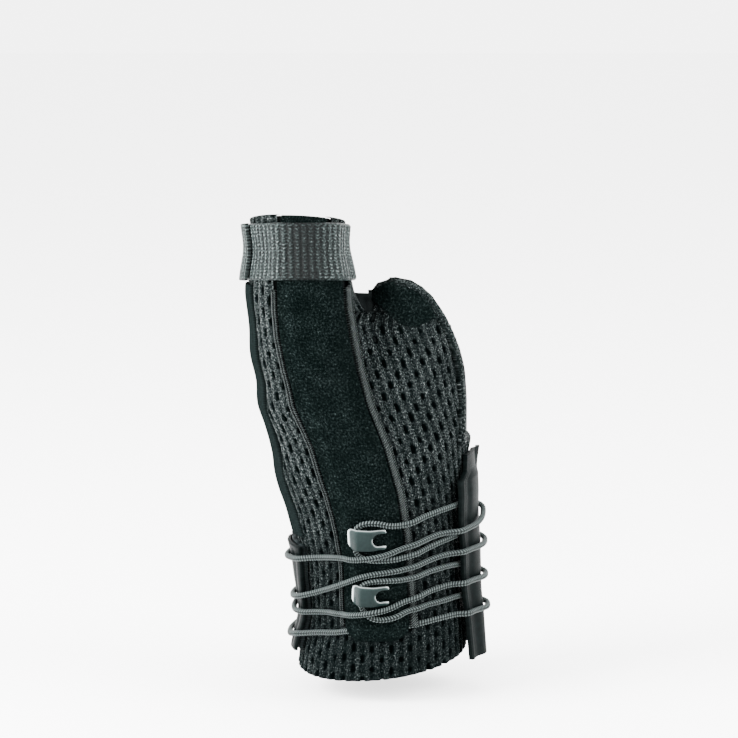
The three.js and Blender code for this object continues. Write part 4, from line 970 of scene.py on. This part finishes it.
# The strap is a ribbed woven tape that goes right round the sleeve's mouth and presses on the pocket.
# Its satin ribs run up and down; its free end is folded over it on the palm side and held by hook tape.
STRAP_HEIGHT = 18.6
STRAP_TILT = math.tan(math.radians(8.5))
STRAP_THICKNESS = 1.3
STRAP_RIB = 1.8
STRAP_END_TURN = -62.0
STRAP_END_WIDTH = 12.0
STRAP_RIM = 1.2

woven, woven_tree, woven_shader = plain_material("ribbed_tape", (0.05, 0.055, 0.054), 0.42)
woven_shader.inputs["Specular IOR Level"].default_value = 0.04
woven_place = add_node(woven_tree, "ShaderNodeSeparateXYZ", {"Vector": cloth_place(woven_tree, 1, 1)})
woven_column = maths(woven_tree, "FRACT", maths(woven_tree, "DIVIDE", woven_place.outputs["X"], STRAP_RIB))
from_rib = maths(woven_tree, "ABSOLUTE", maths(woven_tree, "SUBTRACT", woven_column, 0.5))
picks_up = maths(woven_tree, "ADD", maths(woven_tree, "DIVIDE", woven_place.outputs["Y"], 1.05), from_rib)
picks = maths(woven_tree, "SINE", maths(woven_tree, "MULTIPLY", picks_up, 2 * math.pi))
# Painted shade: a dark band down the tape around x = -27.5 mm, where it faces the front between the two side
# lights.
woven_x = add_node(woven_tree, "ShaderNodeSeparateXYZ", {
    "Vector": add_node(woven_tree, "ShaderNodeTexCoord").outputs["Object"]}).outputs["X"]
from_middle = maths(woven_tree, "MULTIPLY", maths(woven_tree, "ADD", woven_x, 0.0275), 1 / 0.007)
from_middle = maths(woven_tree, "MULTIPLY", maths(woven_tree, "POWER", from_middle, 2.0), -1.0)
shade = maths(woven_tree, "EXPONENT", from_middle)
woven_noise = add_node(woven_tree, "ShaderNodeTexNoise", {
    "Vector": cloth_place(woven_tree, 1, 1), "Scale": 1.5, "Detail": 3})
woven_noise.inputs["Roughness"].default_value = 0.7
# Painted light and shade: the rib tops are lighter and the grooves between them darker.
rib_height = add_node(woven_tree, "ShaderNodeAttribute", attribute_name="rib").outputs["Fac"]
woven_light = maths(woven_tree, "ADD", maths(woven_tree, "MULTIPLY", picks, 0.06), woven_noise.outputs["Fac"])
woven_light = maths(woven_tree, "ADD", woven_light, maths(woven_tree, "MULTIPLY", rib_height, 0.16))
woven_light = maths(woven_tree, "SUBTRACT", woven_light, maths(woven_tree, "MULTIPLY", shade, 0.17))
woven_tree.links.new(
    ramp_node(woven_tree, woven_light, [(0.42, (0.0005, 0.0009, 0.0009)), (0.55, (0.004, 0.0058, 0.0057)),
                                        (0.68, (0.0165, 0.022, 0.0214)), (0.84, (0.085, 0.1, 0.098))]),
    woven_shader.inputs["Base Color"])
bump_into(woven_tree, woven_shader, woven_light, 0.8, 0.0006)


def strap_seat(turn):
    """How high the strap lies over the wrap at each turn: over the pocket in front, smooth between."""
    z = STRAP_FOOT + STRAP_HEIGHT / 2
    fine = np.arange(-180, 180, 2.0)
    place = round_skin(fine, z, SEAT_GAP, sleeve_middle(z), thumb_field)
    cover = np.where(np.abs(fine) < 80, cover_height(place[:, 0], z), 0)
    near = np.stack([np.roll(cover, shift) for shift in range(-3, 4)]).max(0)
    kernel = np.hanning(9) / np.hanning(9).sum()
    smooth = np.convolve(np.concatenate((near[-4:], near, near[:4])), kernel, "valid")
    return np.interp(np.mod(turn + 180, 360) - 180, fine, smooth) + SEAT_GAP


def strap_skin(turn, up, lift):
    """The strap's layer: out from the sleeve's middle, at a height that falls by the tilt."""
    middle_y = sleeve_middle(STRAP_FOOT)[1]
    z = STRAP_FOOT + up + 0 * turn
    for _ in range(2):
        point = round_skin(turn, z, lift, sleeve_middle(z), thumb_field)
        z = STRAP_FOOT + up - (point[..., 1] - middle_y) * STRAP_TILT
    return round_skin(turn, z, lift, sleeve_middle(z), thumb_field)


def strap_section(v):
    """The tape's height across its width: full in the middle, and round at its two woven edges."""
    rim = STRAP_RIM / STRAP_HEIGHT
    edge = np.clip(np.minimum(v, 1 - v) / rim, 0, 1)
    return STRAP_THICKNESS * np.sqrt(np.clip(1 - (1 - edge) ** 2, 0, 1))


def add_rib(piece, values):
    """Keeps how high each point lies on its rib, for the material's painted lighter rib tops."""
    layer = piece.data.attributes.new("rib", "FLOAT", "POINT")
    layer.data.foreach_set("value", values.astype(np.float32).ravel())


ribs = 61
rib_steps = 8
turn = np.linspace(-180, 180, ribs * rib_steps, endpoint=False)
v = np.concatenate(([0, 0.004, 0.012, 0.03], np.linspace(0.055, 0.945, 40), [0.97, 0.988, 0.996, 1]))
turns, heights = np.meshgrid(turn, v)
rib = 0.5 + 0.5 * np.cos(np.radians(turns) * ribs)
pick = np.cos(2 * np.pi * (heights * STRAP_HEIGHT / 1.3 + turns / 360 * ribs / 2))
inner = np.minimum(heights, 1 - heights) > 0.05
lift = strap_seat(turns) + strap_section(heights) - 0.34 * (1 - rib ** 0.7) * inner + 0.05 * pick * inner
skin = strap_skin(turns, heights * STRAP_HEIGHT, lift)
back = strap_skin(turns, heights[::-1] * STRAP_HEIGHT, strap_seat(turns) - 0.05)[::3]
loop = np.concatenate((skin, back))
rows, count = loop.shape[:2]
faces = grid_faces(rows, count, ring=True)
closing = np.stack((np.arange(count) + (rows - 1) * count, np.roll(np.arange(count), -1) + (rows - 1) * count,
                    np.roll(np.arange(count), -1), np.arange(count)), -1)
uv = np.stack((turns / 360 * ribs * STRAP_RIB, heights * STRAP_HEIGHT), -1)
uv = np.concatenate((uv, uv[: rows - len(v)]))
strap_faces = np.concatenate((faces, closing))
strap = put("thumb_tape", loop.reshape(-1, 3), strap_faces, woven, uv.reshape(-1, 2))
add_rib(strap, np.concatenate((rib * inner + 0.5 * ~inner, np.zeros((rows - len(v), count)))))
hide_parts("thumb_strap")


def end_face(u, v):
    """The free end: the same tape again on top of the strap, from its fold to its cut end."""
    turn = STRAP_END_TURN - u * math.degrees(STRAP_END_WIDTH / (THUMB_ROUND + WALL))
    rise = strap_seat(turn) + STRAP_THICKNESS + SEAT_GAP + STRAP_THICKNESS
    rise = rise - 0.3 * (0.5 - 0.5 * np.cos(2 * np.pi * u * STRAP_END_WIDTH / STRAP_RIB))
    up = (0.02 + 0.96 * v) * STRAP_HEIGHT
    return strap_skin(turn, up, rise), np.stack((u * STRAP_END_WIDTH, up), -1)


end_across = np.linspace(1, 0, 56)
strap_end = closed_strip("thumb_tape_end", end_across, np.linspace(0, 1, 44), end_face, woven, 0.3)
end_rib = 0.5 + 0.5 * np.cos(2 * np.pi * end_across * STRAP_END_WIDTH / STRAP_RIB)
end_rib = np.concatenate((np.full(3, 0.3), end_rib, np.full(3, 0.3)))
add_rib(strap_end, np.broadcast_to(end_rib, (50, 62)))
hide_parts("thumb_strap_end")


# The belt runs round the little-finger side under the lacing, and carries the strip that the lace turns
# round on the palm side and the longer one on the back of the wrist.
BELT_THICKNESS = 1.4
BELT_FOOT = 3.0
BELT_HEIGHT_PALM = 36.0
BELT_HEIGHT_BACK = 55.05
BELT_LAP = 3.5
STRIP_THICKNESS = 1.3
PALM_STRIP_WIDTH = 15.0
BACK_TURN = 106.0
BELT_TOP = SEAT_GAP + BELT_THICKNESS + SEAT_GAP
WRIST_ROUND = (WRIST_WIDTH + WRIST_DEPTH) / 4 + WALL
PALM_FRONT = [(0.01, -76), (0.14, -70), (0.27, -62)]
BACK_STRIP = [(0, 69, 1, 2.6), (0.1, 66, 1, 2.5), (0.2, 60, 1, 1.8), (0.3, 55, 1, 0.7), (0.37, 55, 1, 0),
              (0.41, 56, 0.8, 0), (0.425, 68, 0.4, 0), (0.46, 73, 0.12, 0)]
LACE_SLOTS = [0.119, 0.191, 0.27, 0.34]
SLOT_TURN = 94.5
SLOT_WIDTH = 4.0
SLOT_HEIGHT = 8.0


def palm_front(z):
    """The turn of the palm strip's front edge at a height."""
    rows = np.array(PALM_FRONT)
    return np.interp(z, rows[:, 0] * HEIGHT, rows[:, 1])


def back_strip(z, column):
    """A column of the back strip's table at a height."""
    rows = np.array(BACK_STRIP)
    return np.interp(z, rows[:, 0] * HEIGHT, rows[:, column])


def back_lift(turn, z):
    """The height of the back strip's inside: off the wrap for the lace, flared out, then on the belt."""
    front = back_strip(z, 1)
    share = np.clip((turn - front) / (BACK_TURN - front), 0, 1)
    off = PASSAGE * back_strip(z, 2) + back_strip(z, 3) * ease(share, 0.1, 0.55)
    return off + ease(share, 0.72, 0.9) * (BELT_TOP - off)


belt_cloth, belt_tree, belt_shader = plain_material("laminated_elastic", (0.014, 0.017, 0.0175), 0.5)
belt_shader.inputs["Specular IOR Level"].default_value = 0.01
belt_weave = add_node(belt_tree, "ShaderNodeTexWave", {
    "Vector": cloth_place(belt_tree, 1, 1, 1.57), "Scale": 0.5, "Distortion": 0.5, "Detail": 1})
belt_noise = add_node(belt_tree, "ShaderNodeTexNoise", {
    "Vector": cloth_place(belt_tree, 1, 1), "Scale": 0.9, "Detail": 4})
belt_light = maths(belt_tree, "MULTIPLY", belt_weave.outputs["Fac"], belt_noise.outputs["Fac"])
belt_tree.links.new(
    ramp_node(belt_tree, belt_light, [(0.1, (0.0016, 0.0024, 0.0025)), (0.6, (0.007, 0.0092, 0.0094))]),
    belt_shader.inputs["Base Color"])
bump_into(belt_tree, belt_shader, belt_light, 0.4, 0.0003)


def belt_face(u, v):
    """The belt's outside, from under the back strip round the little-finger side to the palm strip."""
    start = BACK_TURN - math.degrees(BELT_LAP / WRIST_ROUND)
    z = BELT_FOOT + v * (BELT_HEIGHT_BACK + u * (BELT_HEIGHT_PALM - BELT_HEIGHT_BACK))
    end = 360 + palm_front(z) - math.degrees(SEAT_GAP / WRIST_ROUND)
    turn = start + u * (end - start)
    edge = np.minimum(v, 1 - v)
    stitch_line = 0.12 * np.exp(-((edge - 0.07) / 0.012) ** 2)
    lift = SEAT_GAP + BELT_THICKNESS * (0.8 + 0.2 * ease(edge, 0, 0.05)) - stitch_line
    return round_skin(turn, z, lift), np.stack((np.radians(turn) * WRIST_ROUND, z), -1)


belt = closed_strip("wrist_belt_cloth", np.linspace(0, 1, 160), np.linspace(0, 1, 90), belt_face,
                    belt_cloth, 0.3)
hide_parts("wrist_belt")

# The strips are smooth laminated cloth: a lit outer edge, a shallow channel, and a stitched line.
strip_cloth, strip_tree, strip_shader = plain_material("laminated_strip", (0.015, 0.019, 0.0195), 0.5)
strip_shader.inputs["Specular IOR Level"].default_value = 0.01
strip_noise = add_node(strip_tree, "ShaderNodeTexNoise", {
    "Vector": cloth_place(strip_tree, 1, 1), "Scale": 0.7, "Detail": 4})
strip_grain = add_node(strip_tree, "ShaderNodeTexNoise", {
    "Vector": cloth_place(strip_tree, 1, 1), "Scale": 3.0, "Detail": 2})
strip_tree.links.new(
    ramp_node(strip_tree, strip_noise.outputs["Fac"],
              [(0.3, (0.0004, 0.0008, 0.0008)), (0.7, (0.0014, 0.0024, 0.0024))]),
    strip_shader.inputs["Base Color"])
bump_into(strip_tree, strip_shader, strip_grain.outputs["Fac"], 0.35, 0.0003)


def palm_face(u, v):
    """The palm strip: a round front edge, then a shallow channel round the palm side."""
    z = BELT_FOOT - SEAT_GAP + v * (BELT_HEIGHT_PALM + 2 * SEAT_GAP)
    turn = palm_front(z) - u * math.degrees(PALM_STRIP_WIDTH / WRIST_ROUND)
    roll = 0.15 * np.exp(-((u - 0.08) / 0.07) ** 2) - 0.25 * np.exp(-((u - 0.24) / 0.07) ** 2)
    lift = BELT_TOP + STRIP_THICKNESS + roll * (1 - ease(np.abs(v - 0.5), 0.44, 0.5))
    return round_skin(turn, z, lift), np.stack((u * PALM_STRIP_WIDTH, z), -1)


palm_strip = closed_strip("palm_strip_cloth", np.linspace(1, 0, 46), np.linspace(0, 1, 90), palm_face,
                          strip_cloth, 0.3)
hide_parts("palm_lace_strip")


# The back strip is one sheet with four slots near its outer edge, where the lace turns under it.
strip_rows = 230
strip_columns = 90
u, v = np.meshgrid(np.linspace(0, 1, strip_columns), np.linspace(0, 1, strip_rows))
z = HEIGHT * (BACK_STRIP[0][0] + v * (BACK_STRIP[-1][0] - BACK_STRIP[0][0]))
front = back_strip(z, 1)
turn = front + u * (BACK_TURN - front)
across = u * np.radians(BACK_TURN - front) * WRIST_ROUND
channel = 0.5 * np.exp(-((across - 4.6) / 1.5) ** 2) - 0.3 * np.exp(-((across - 1.0) / 0.7) ** 2)
lift = back_lift(turn, z) + STRIP_THICKNESS - channel * (1 - ease(z, 0.4 * HEIGHT, 0.43 * HEIGHT))
face = round_skin(turn, z, lift)
under = round_skin(turn, z, back_lift(turn, z))
slot_span = math.degrees(SLOT_WIDTH / WRIST_ROUND)
open_slot = np.zeros(z.shape, bool)
for share in LACE_SLOTS:
    slot_across = np.abs((turn - SLOT_TURN) / (slot_span / 2))
    slot_up = np.abs((z - share * HEIGHT) / (SLOT_HEIGHT / 2))
    open_slot |= slot_across ** 3 + slot_up ** 3 < 1
faces = grid_faces(strip_rows, strip_columns)
faces = faces[~open_slot.ravel()[faces].any(1)]
edge_from = faces.ravel()
edge_to = np.roll(faces, -1, axis=1).ravel()
edge_key = edge_from.astype(np.int64) * z.size + edge_to
free = ~np.isin(edge_to.astype(np.int64) * z.size + edge_from, edge_key)
walls = np.stack((edge_to[free], edge_from[free], edge_from[free] + z.size, edge_to[free] + z.size), -1)
solid_faces = np.concatenate((faces, faces[:, ::-1] + z.size, walls))
strip_uv = np.stack((across, z), -1).reshape(-1, 2)
solid_points = np.concatenate((face.reshape(-1, 3), under.reshape(-1, 3)))
used = np.zeros(len(solid_points), bool)
used[solid_faces.ravel()] = True
renumber = np.cumsum(used) - 1
dorsal = put("back_strip_cloth", solid_points[used], renumber[solid_faces], strip_cloth,
             np.concatenate((strip_uv, strip_uv))[used])
rounding = dorsal.modifiers.new("round_edges", "BEVEL")
rounding.width = 0.0003
rounding.segments = 2
rounding.limit_method = "ANGLE"
rounding.angle_limit = math.radians(50)
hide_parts("dorsal_lace_strip")


# Two glossy moulded hooks stand on the pocket: each is a bowed plate with a round left end and two
# prongs round a notch, and the lace's ends run up behind it.
HOOK_LENGTH = 13.0
HOOK_HEIGHT = 7.1
HOOK_THICKNESS = 1.1
HOOK_NOTCH = 4.3
HOOK_SLOT = 4.4
HOOK_CORNER = 2.2
PRONG_CORNER = 0.7
HOOKS = {"hook_upper": (-0.277, 0.283), "hook_lower": (-0.258, 0.155)}

# The plates' colour carries a painted highlight along their edges, read from the edge attribute, over a fine
# grain.
moulded, moulded_tree, moulded_shader = plain_material("moulded_gloss", (0.03, 0.045, 0.045), 0.2)
moulded_shader.inputs["Specular IOR Level"].default_value = 0.03
moulded_place = add_node(moulded_tree, "ShaderNodeTexCoord").outputs["Object"]
moulded_grain = add_node(moulded_tree, "ShaderNodeTexNoise", {
    "Vector": moulded_place, "Scale": 900.0, "Detail": 3})
edge_highlight = add_node(moulded_tree, "ShaderNodeAttribute", attribute_name="edge").outputs["Fac"]
grain_and_highlight = maths(moulded_tree, "MULTIPLY", moulded_grain.outputs["Fac"], 0.08)
grain_and_highlight = maths(moulded_tree, "ADD", edge_highlight, grain_and_highlight)
moulded_tree.links.new(
    ramp_node(moulded_tree, grain_and_highlight, [(0.03, (0.0025, 0.0048, 0.0047)), (0.35, (0.012, 0.0185, 0.018)),
                                            (0.9, (0.3, 0.33, 0.325))]),
    moulded_shader.inputs["Base Color"])
bump_into(moulded_tree, moulded_shader, moulded_grain.outputs["Fac"], 0.02, 0.0001)


def walled(name, face, under, faces, material, edge):
    """A sheet with a cut-out as a closed solid: its face, its back, a wall along every free edge, and edge as
    each point's painted highlight.
    """
    keys = np.round(face.reshape(-1, 3) / 0.02).astype(np.int64)
    _, first, number = np.unique(keys, axis=0, return_index=True, return_inverse=True)
    faces = number.ravel()[faces]
    sides = np.roll(faces, -1, axis=1)
    faces = faces[(faces != sides).all(1)]
    count = len(first)
    edge_from = faces.ravel().astype(np.int64)
    edge_to = np.roll(faces, -1, axis=1).ravel().astype(np.int64)
    free = ~np.isin(edge_to * count + edge_from, edge_from * count + edge_to)
    edge_from, edge_to = edge_from[free], edge_to[free]
    walls = np.stack((edge_to, edge_from, edge_from + count, edge_to + count), -1)
    faces = np.concatenate((faces, faces[:, ::-1] + count, walls))
    points = np.concatenate((face.reshape(-1, 3)[first], under.reshape(-1, 3)[first]))
    piece = put(name, points, faces, material)
    layer = piece.data.attributes.new("edge", "FLOAT", "POINT")
    layer.data.foreach_set("value", np.tile(edge.ravel()[first], 2).astype(np.float32))
    return piece


def round_edges(piece, width):
    """Rounds a piece's sharp edges with a small bevel."""
    bevel = piece.modifiers.new("round_edges", "BEVEL")
    bevel.width = width / 1000
    bevel.segments = 3
    bevel.limit_method = "ANGLE"
    bevel.angle_limit = math.radians(50)


for name, (left_share, foot_share) in HOOKS.items():
    left = left_share * WRIST_WIDTH
    middle = foot_share * HEIGHT + HOOK_HEIGHT / 2
    notch = HOOK_LENGTH - HOOK_SLOT
    radius = HOOK_NOTCH / 2
    edge = HOOK_HEIGHT / 2
    corner = HOOK_CORNER * (1 - np.cos(np.linspace(0, np.pi / 2, 9)))
    bend = notch + radius * (1 - np.cos(np.linspace(0, np.pi / 2, 13)))
    tip = HOOK_LENGTH - PRONG_CORNER * (1 - np.sin(np.linspace(0, np.pi / 2, 6)))
    along = np.concatenate((corner, np.linspace(HOOK_CORNER, notch, 26)[1:-1], bend,
                            np.linspace(bend[-1], tip[0], 10)[1:-1], tip))
    near_left = np.clip(HOOK_CORNER - along, 0, HOOK_CORNER)
    near_tip = np.clip(along - HOOK_LENGTH + PRONG_CORNER, 0, PRONG_CORNER)
    outer = (edge - HOOK_CORNER + np.sqrt(HOOK_CORNER ** 2 - near_left ** 2)
             - PRONG_CORNER + np.sqrt(PRONG_CORNER ** 2 - near_tip ** 2))
    into = np.clip(along - notch, 0, radius)
    outer = outer * (1 - 0.1 * along / HOOK_LENGTH)
    inner = np.where(along > notch, np.sqrt(np.maximum(radius ** 2 - (radius - into) ** 2, 0)), 0)
    share = np.linspace(0, 1, 11)[:, None]
    upper = inner + share * (outer - inner)
    up = np.concatenate((-upper[::-1], upper))
    along = np.broadcast_to(along, up.shape)
    x = left + along
    z = middle + up - 0.03 * (along - HOOK_LENGTH / 2)
    bow = ease(along / HOOK_LENGTH, 0, 0.3) * (1 - ease(along / HOOK_LENGTH, 0.55, 1))
    rest = SEAT_GAP + bow * (LACE + 2 * SEAT_GAP)
    cover = cover_height(x, z)
    crown = 0.25 * (up / edge) ** 2
    face = front_skin(x, z, cover + rest + HOOK_THICKNESS - crown)
    under = front_skin(x, z, cover + rest)
    faces = grid_faces(*up.shape)
    middle_row = len(share) - 1
    cells = np.arange(len(faces)) // (up.shape[1] - 1)
    from_notch = np.where(along > notch, np.abs(up) - inner, np.hypot(along - notch - radius, up) - radius)
    # Painted highlight: lighter colour along the round left end, the top edge, the notch's rim and the prong
    # tips, where the side lights would glint, and a little more towards the left and top.
    painted_highlight = (0.9 * np.exp(-(along / 0.75) ** 2) + 0.45 * np.exp(-((outer - up) / 0.35) ** 2)
              + 0.5 * np.exp(-(from_notch / 0.35) ** 2) * (up < 0.8)
              + 0.3 * np.exp(-((HOOK_LENGTH - along) / 1.2) ** 2)
              + 0.1 * (1 - along / HOOK_LENGTH) * (0.5 + 0.5 * up / edge))
    painted_highlight = np.clip(painted_highlight, 0, 1)
    hook = walled(name + "_plate", face, under, faces[cells != middle_row], moulded, painted_highlight)
    round_edges(hook, 0.35)
    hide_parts(name)


# The lace is a round braid, taut in two runs that meet behind the hooks: each goes under the strips and
# back through their slots, over the pocket, and once under its foot. Rows: the turn round the wrist,
# the share of the height, 0 on the wrap or 1 on a strip, and lace thicknesses over the other run.
LONG_RUN = [
    (-19.5, 0.3045, 0, 0), (-18, 0.326, 0, 0), (-13, 0.341, 0, 0), (-5, 0.341, 0, 0), (2, 0.335, 0, 0),
    (12, 0.335, 0, 0), (26, 0.345, 0, 0), (40, 0.353, 0, 0), (56, 0.357, 0, 0), (72, 0.357, 0, 0),
    (87, 0.353, 0, 0), (93.5, 0.347, 0.08, 0), (95, 0.339, 0.5, 0), (93.5, 0.331, 0.95, 0),
    (86, 0.32, 1, 0), (72, 0.311, 1, 0), (60, 0.308, 1, 0), (51.5, 0.306, 1, 0), (44, 0.3035, 0.3, 0),
    (35, 0.3, 0, 0), (18, 0.289, 0, 0), (8, 0.282, 0, 0), (0, 0.2735, 0, 0.3), (-7, 0.269, 0, 0.9),
    (-14, 0.2655, 0, 1.05), (-20, 0.264, 0, 1), (-27, 0.262, 0, 0.4), (-36, 0.259, 0, 0),
    (-51, 0.249, 0.15, 0), (-58, 0.244, 0.75, 0), (-64, 0.239, 1, 0), (-80, 0.23, 1, 0),
    (-92, 0.215, 1, 0), (-97, 0.18, 1, 0), (-98, 0.137, 1, 0), (-97, 0.094, 1, 0), (-93, 0.06, 1, 0),
    (-84, 0.05, 1, 0), (-76, 0.056, 1, 0), (-69, 0.062, 0.95, 0), (-62, 0.068, 0.3, 0),
    (-53, 0.074, 0, 0), (-41, 0.08, 0, 0), (-33, 0.086, 0, 0), (-21, 0.09, 0, 0), (-10, 0.092, 0, 0),
    (2, 0.095, 0, 0), (12, 0.1, 0, 0), (24, 0.104, 0, 0), (38, 0.109, 0, 0), (54, 0.113, 0.3, 0),
    (61, 0.113, 1, 0), (69, 0.1125, 1, 0), (80, 0.11, 1, 0), (88, 0.109, 1, 0), (93.5, 0.113, 0.95, 0),
    (95, 0.12, 0.5, 0), (93.5, 0.127, 0.08, 0), (86, 0.137, 0, 0), (64, 0.148, 0, 0), (50, 0.148, 0, 0),
    (38, 0.146, 0, 0), (25, 0.143, 0, 0), (13, 0.138, 0, 0), (4, 0.128, 0, 0), (-4, 0.124, 0, 0),
    (-10, 0.128, 0, 0), (-15, 0.14, 0, 0), (-17, 0.155, 0, 0), (-17.5, 0.1735, 0, 0),
]
SHORT_RUN = [
    (-19.5, 0.3015, 0, 0), (-19, 0.285, 0, 0), (-17, 0.27, 0, 0), (-10, 0.26, 0, 0), (2, 0.26, 0, 0),
    (12, 0.264, 0, 0), (24, 0.272, 0, 0), (38, 0.283, 0, 0), (52, 0.288, 0, 0), (68, 0.291, 0, 0),
    (87, 0.286, 0, 0), (93.5, 0.279, 0.08, 0), (95, 0.27, 0.5, 0), (93.5, 0.261, 0.95, 0),
    (86, 0.256, 1, 0), (70, 0.257, 1, 0), (62, 0.258, 1, 0), (53.5, 0.2575, 1, 0), (45, 0.255, 0.25, 0),
    (34, 0.25, 0, 0), (18, 0.24, 0, 0), (5, 0.234, 0, 0), (-6, 0.229, 0, 0), (-16, 0.221, 0, 0),
    (-26, 0.208, 0, 0), (-37, 0.192, 0, 0), (-54, 0.168, 0.1, 0), (-63, 0.155, 0.75, 0),
    (-69, 0.148, 1, 0), (-82, 0.137, 1, 0), (-89.5, 0.129, 1, 0), (-89.5, 0.114, 1, 0),
    (-82, 0.108, 1, 0), (-72, 0.111, 1, 0), (-66, 0.113, 0.8, 0), (-58, 0.118, 0.1, 0),
    (-42, 0.126, 0, 0), (-33, 0.129, 0, 0.2), (-24, 0.134, 0, 0.95), (-14, 0.1385, 0, 1.05),
    (-6, 0.144, 0, 1), (1, 0.148, 0, 0.4), (9, 0.158, 0, 0), (20, 0.167, 0, 0), (34, 0.176, 0, 0),
    (49, 0.1825, 0.2, 0), (57, 0.184, 1, 0), (66, 0.184, 1, 0), (76, 0.182, 1, 0), (88, 0.18, 1, 0),
    (93.5, 0.183, 0.95, 0), (95, 0.191, 0.5, 0), (93.5, 0.199, 0.08, 0), (86, 0.209, 0, 0),
    (62, 0.221, 0, 0), (48, 0.225, 0, 0), (35, 0.223, 0, 0), (22, 0.217, 0, 0), (10, 0.213, 0, 0),
    (-2, 0.213, 0, 0), (-10, 0.21, 0, 0), (-15, 0.202, 0, 0), (-17.5, 0.19, 0, 0), (-17.5, 0.1765, 0, 0),
]
BRAID_ROUND = 0.84
BRAID_PITCH = 0.95
BRAID_RELIEF = 0.1
KEY_PARTS = 5
# The turns on the palm side lie this many degrees further back than their rows say, past the outline.
BACK_SHIFT = 26.0


def through_points(points, parts):
    """A Catmull-Rom line through the points: each stretch is the cubic that four neighbours give."""
    padded = np.concatenate((points[:1], points, points[-1:]))
    a, b, c, d = padded[:-3], padded[1:-2], padded[2:-1], padded[3:]
    share = (np.arange(parts) / parts)[None, :, None]
    a, b, c, d = (part[:, None] for part in (a, b, c, d))
    line = b + 0.5 * ((c - a) * share + (2 * a - 5 * b + 4 * c - d) * share ** 2
                      + (3 * b - a - 3 * c + d) * share ** 3)
    return np.concatenate((line.reshape(-1, points.shape[1]), points[-1:]))


def lace_route(rows):
    """The lace's middle line: over whatever it lies on, drawn taut by the highest cover near each place."""
    keys = through_points(np.array(rows, float) * (1, HEIGHT, 1, 1), KEY_PARTS)
    turn, z, level, cross = keys.T
    turn = turn - BACK_SHIFT * ease(-turn, 80, 90)
    at = round_skin(turn, z, PASSAGE)
    cover = np.stack([cover_height(at[:, 0], z + share * LACE) for share in (-0.5, 0, 0.5)]).max(0)
    cover = np.where((np.abs(turn) > 60) | (z < TUNNEL_RISE + LACE), 0, cover)
    wide = np.pad(cover, 2, "edge")
    taut = np.stack([wide[shift:shift + len(cover)] for shift in range(5)]).max(0)
    wide = np.pad(taut, 1, "edge")
    low = (wide[:-2] + wide[1:-1] + wide[2:]) / 3
    strip = np.where(turn > 0, back_lift(turn, z), BELT_TOP) + STRIP_THICKNESS
    seat = low + np.clip(level, 0, 1) * (strip - low) + cross * (LACE + SEAT_GAP)
    route = round_skin(turn, z, seat + SEAT_GAP + LACE / 2)
    for _ in range(2):
        route[1:-1] = (route[:-2] + 2 * route[1:-1] + route[2:]) / 4
    return route


def even_line(points, step):
    """The same line with points an even step apart along its length."""
    fine = through_points(points, 8)
    length = np.concatenate(([0], np.cumsum(np.linalg.norm(np.diff(fine, axis=0), axis=1))))
    at = np.linspace(0, length[-1], int(length[-1] / step) + 1)
    return np.stack([np.interp(at, length, fine[:, axis]) for axis in range(3)], -1), at


# Painted light and shade: the strand attribute lightens the raised strands and darkens their dips and the
# shallow groove along the outer side.
braid, braid_tree, braid_shader = plain_material("braided_lace", (0.12, 0.125, 0.122), 0.5)
braid_shader.inputs["Specular IOR Level"].default_value = 0.03
strand = add_node(braid_tree, "ShaderNodeAttribute", attribute_name="strand").outputs["Fac"]
braid_fuzz = add_node(braid_tree, "ShaderNodeTexNoise", {
    "Vector": cloth_place(braid_tree, 1, 1), "Scale": 2.4, "Detail": 3})
braid_light = maths(braid_tree, "MULTIPLY", strand, maths(braid_tree, "ADD", braid_fuzz.outputs["Fac"], 0.5))
braid_tree.links.new(
    ramp_node(braid_tree, braid_light, [(0.12, (0.0005, 0.0009, 0.0009)), (0.45, (0.0042, 0.0061, 0.006)),
                                        (0.8, (0.038, 0.046, 0.045))]),
    braid_shader.inputs["Base Color"])
bump_into(braid_tree, braid_shader, braid_light, 0.5, 0.0003)


def braided(name, rows, node):
    """A braid along the route: a round section carried along it, with crossing strands raised on its skin.

    The relief is a wave whose crests run back from the line along its outer side, as a braid's strands do.
    """
    line, length = even_line(lace_route(rows), 0.21)
    run = unit(np.gradient(line, axis=0))
    out = outward(line)
    side = unit(np.cross(run, out))
    out = np.cross(side, run)
    around = np.linspace(0, 2 * np.pi, 36, endpoint=False)
    along, angle = np.meshgrid(length, around, indexing="ij")
    aside = np.minimum(angle, 2 * np.pi - angle)
    crossing = np.cos(2 * np.pi * along / BRAID_PITCH - 2.2 * aside)
    crossing = (1 + crossing) * (1 - 0.8 * np.exp(-(aside / 0.16) ** 2)) - 1
    radius = BRAID_ROUND * LACE / 2 - BRAID_RELIEF * (0.5 - 0.5 * crossing)
    radius[[0, -1]] = 0.02
    radius[[1, -2]] *= 0.8
    skin = line[:, None] + radius[..., None] * (np.cos(angle)[..., None] * out[:, None]
                                                + np.sin(angle)[..., None] * side[:, None])
    faces = grid_faces(len(line), len(around), ring=True)[:, ::-1]
    uv = np.stack((angle * LACE / 2, along), -1).reshape(-1, 2)
    piece = put(name, skin.reshape(-1, 3), faces, braid, uv)
    # The strand attribute keeps the painted light and shade: near 1 on a strand's crest, near 0 in its dips.
    layer = piece.data.attributes.new("strand", "FLOAT", "POINT")
    layer.data.foreach_set("value", (0.5 + 0.5 * crossing).astype(np.float32).ravel())
    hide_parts(node)


braided("lace_long", LONG_RUN, "lace_long_run")
braided("lace_short", SHORT_RUN, "lace_short_run")
